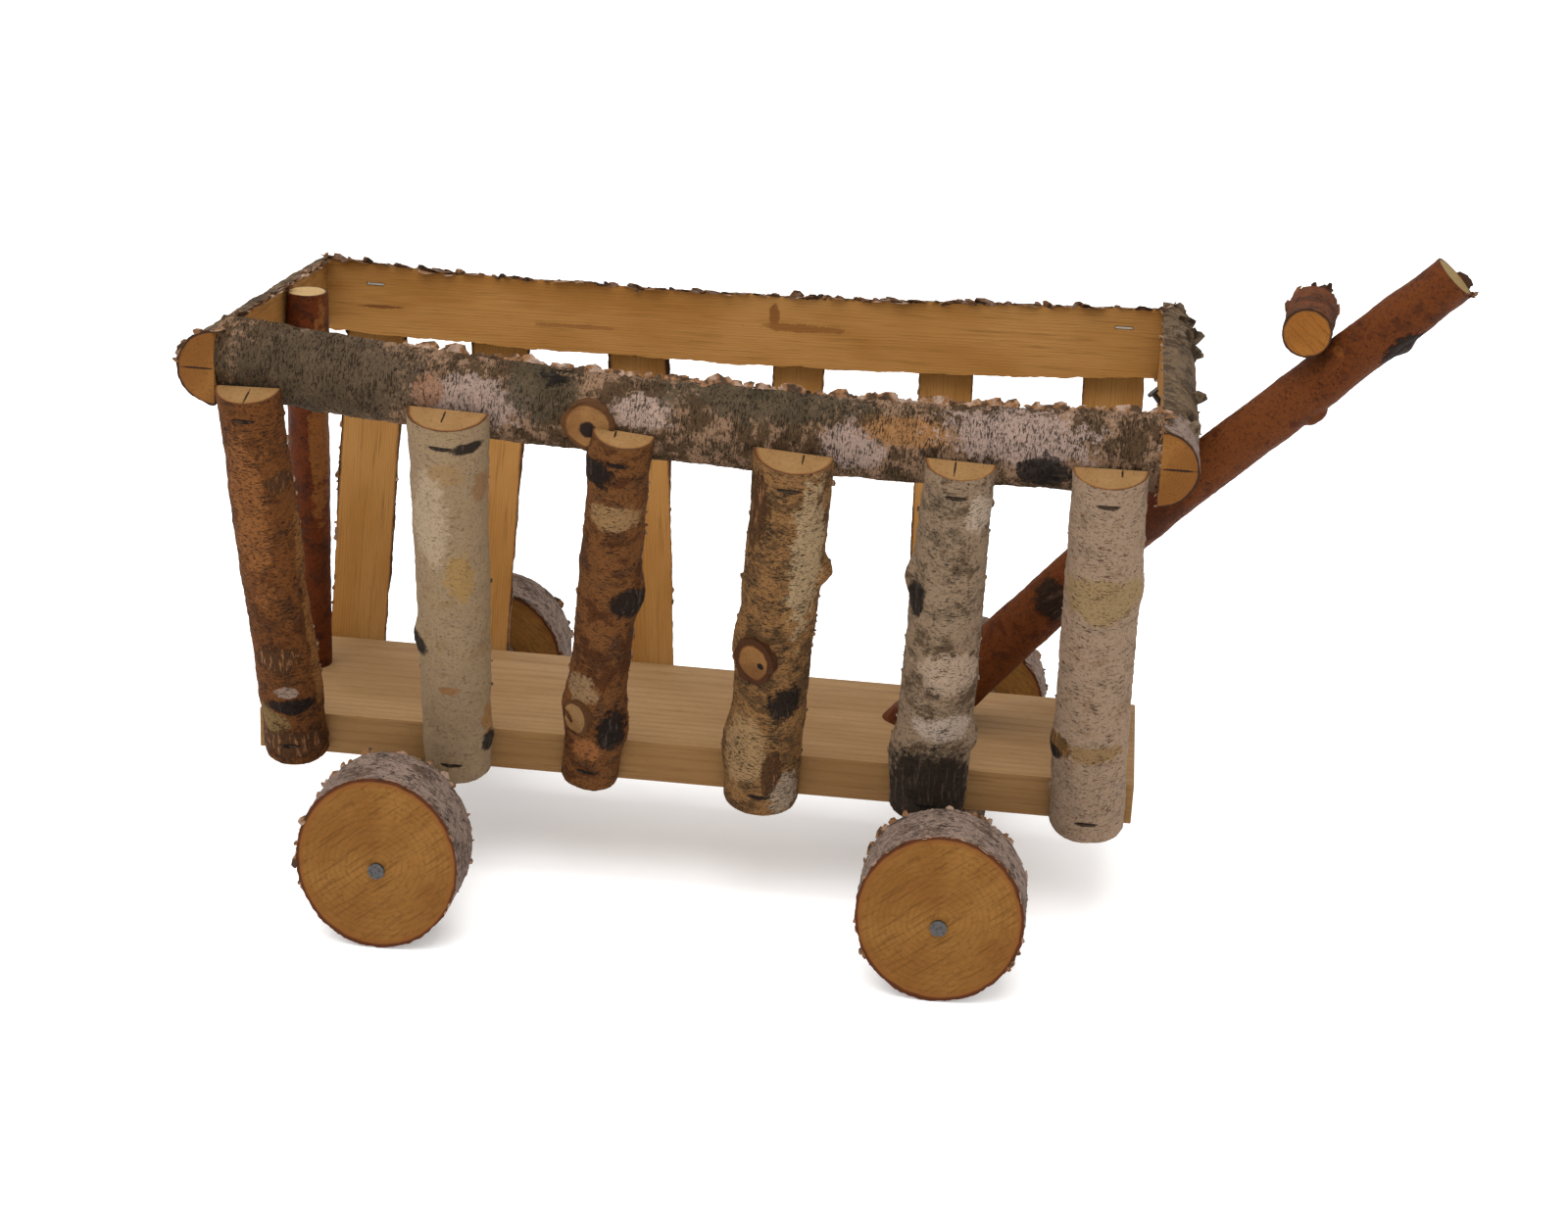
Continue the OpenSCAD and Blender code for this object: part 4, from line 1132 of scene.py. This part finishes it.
def set_stage():
    bpy.ops.mesh.primitive_plane_add(size=8, location=(0, 0, -0.02 * MM))
    floor = bpy.context.object
    floor.name = "studio_floor"
    finish, _, shader = start_finish("white_floor")
    shader.inputs["Base Color"].default_value = (0.93, 0.93, 0.93, 1)
    shader.inputs["Roughness"].default_value = 0.9
    shader.inputs["Emission Color"].default_value = (1, 1, 1, 1)
    shader.inputs["Emission Strength"].default_value = 0.24
    dress(floor, finish)
    world = bpy.data.worlds.new("studio_air")
    world.use_nodes = True
    world.node_tree.nodes["Background"].inputs["Color"].default_value = (1, 1, 1, 1)
    world.node_tree.nodes["Background"].inputs["Strength"].default_value = 1.15
    bpy.context.scene.world = world
    bpy.ops.object.light_add(type="AREA", location=(-0.3, -0.7, 2.2),
                             rotation=(math.radians(20), 0, math.radians(-10)))
    lamp = bpy.context.object
    lamp.name = "top_softbox"
    lamp.data.size = 2.2
    lamp.data.energy = 55
    bpy.context.scene.view_settings.view_transform = "Standard"


# ---------------------------------------------------------------- which points carry torn bark
# A point is its place, the way the bark faces and the way the sawn wood faces.

def on_long_edge(entry):
    return abs(entry[2].z) < 0.6


def on_top(entry):
    return entry[1].z > 0


def on_top_past_rear_end(entry):
    return on_top(entry) and entry[0].x > RIM_X - 150 * MM


def on_inner_edge(entry):
    return entry[2].x < -0.5


def by_loose_bark(entry):
    """Where the front rail's bark is loose: by its near end, before its middle, and far along."""
    place = entry[0].y / MM
    on_edge = entry[1].x > 0.45 and entry[1].z > 0.05
    return on_edge and (-98 < place < -76 or -40 < place < -22 or place > 50)


def clear_of_ground(entry):
    return entry[0].z > 14 * MM


def under_handle_tip(entry):
    return entry[0].z > 0.3 and entry[1].x > 0.2


def on_far_end(entry):
    return entry[2].y > 0.5


# ---------------------------------------------------------------- the cart

place_camera()
set_stage()
FLAKE = cut_flake("bark_chip")
TORN_BARK = torn_bark_finish("torn_bark", (0.05, 0.03, 0.018), (0.17, 0.08, 0.035), (0.24, 0.165, 0.12))
GREY_BARK = torn_bark_finish("torn_grey_bark", (0.03, 0.021, 0.013), (0.075, 0.05, 0.03),
                             (0.12, 0.088, 0.058))
RED_BARK = torn_bark_finish("torn_red_bark", (0.03, 0.014, 0.008), (0.1, 0.036, 0.014),
                            (0.2, 0.085, 0.03))

for number in range(1, 7):
    flake_count = 40 if number in (1, 3, 4, 5) else 16
    for side_name, sign in (("near", -1), ("far", 1)):
        slat = make_slat(side_name, number, sign)
        scatter_flakes(slat, "cart", "slat_bark", flake_count, 2 * MM, on_long_edge, number + 10 * sign)

near_rail = make_side_rail("near_rail", -1, NEAR_RAIL_HEIGHTS, NEAR_RAIL_SAG, RAIL_SPOTS, RAIL_PATCHES)
far_rail = make_side_rail("far_rail", 1, FAR_RAIL_HEIGHTS, FAR_RAIL_SAG, [], [])
scatter_flakes(near_rail, "cart", "rail_bark", 230, 6 * MM, on_top_past_rear_end, 31)
scatter_flakes(far_rail, "cart", "rail_bark", 230, 6 * MM, on_top, 32)

rear_rail = make_end_rail("rear_end_rail", -1, REAR_RAIL_HEIGHTS, [])
front_rail = make_end_rail("front_end_rail", 1, FRONT_RAIL_HEIGHTS, FRONT_RAIL_PATCHES)
scatter_flakes(rear_rail, "cart", "end_rail_bark", 90, 6 * MM, on_top, 33)
scatter_flakes(front_rail, "cart", "end_rail_bark", 50, 3 * MM, on_inner_edge, 34)
scatter_flakes(front_rail, "cart", "end_rail_bark", 26, 9 * MM, by_loose_bark, 35,
               skin_points(front_rail), GREY_BARK)

WHEELS = ("rear_near_wheel", "rear_far_wheel", "front_near_wheel", "front_far_wheel")
for count, wheel_name in enumerate(WHEELS):
    wheel = make_wheel(wheel_name)
    scatter_flakes(wheel, wheel_name, "log_slice", 60, 3.6 * MM, clear_of_ground, 40 + count)

handle = make_handle()
crossbar = make_crossbar()
scatter_flakes(handle, "cart", "handle_bark", 14, 4.5 * MM, under_handle_tip, 51, None, RED_BARK)
scatter_flakes(crossbar, "cart", "handle_bark", 26, 6 * MM, on_far_end, 52, None, RED_BARK)
make_post()
make_board()

STEEL = metal("dull_steel", (0.07, 0.068, 0.068), (0.035, 0.022, 0.016))
BRIGHT_STEEL = metal("bright_steel", (0.5, 0.47, 0.4), (0.12, 0.08, 0.05))
DARK_STAPLE = metal("rusted_staple", (0.035, 0.022, 0.014), (0.012, 0.008, 0.006))
for wheel_name in WHEELS:
    dress(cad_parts[wheel_name + "_nail"], STEEL)
for node_name in ("end_rail_nails", "post_fasteners", "handle_fasteners", "crossbar_nail",
                  "beam_screws"):
    dress(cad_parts[node_name], STEEL)
dress(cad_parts["far_rail_staples"], BRIGHT_STEEL)
for node_name in ("near_slat_staples", "far_slat_staples"):
    dress(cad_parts[node_name], DARK_STAPLE)
for node_name in ("rear_axle_beam", "front_axle_beam"):
    make_beam(node_name)

bpy.data.objects.remove(FLAKE)
put_down_all()
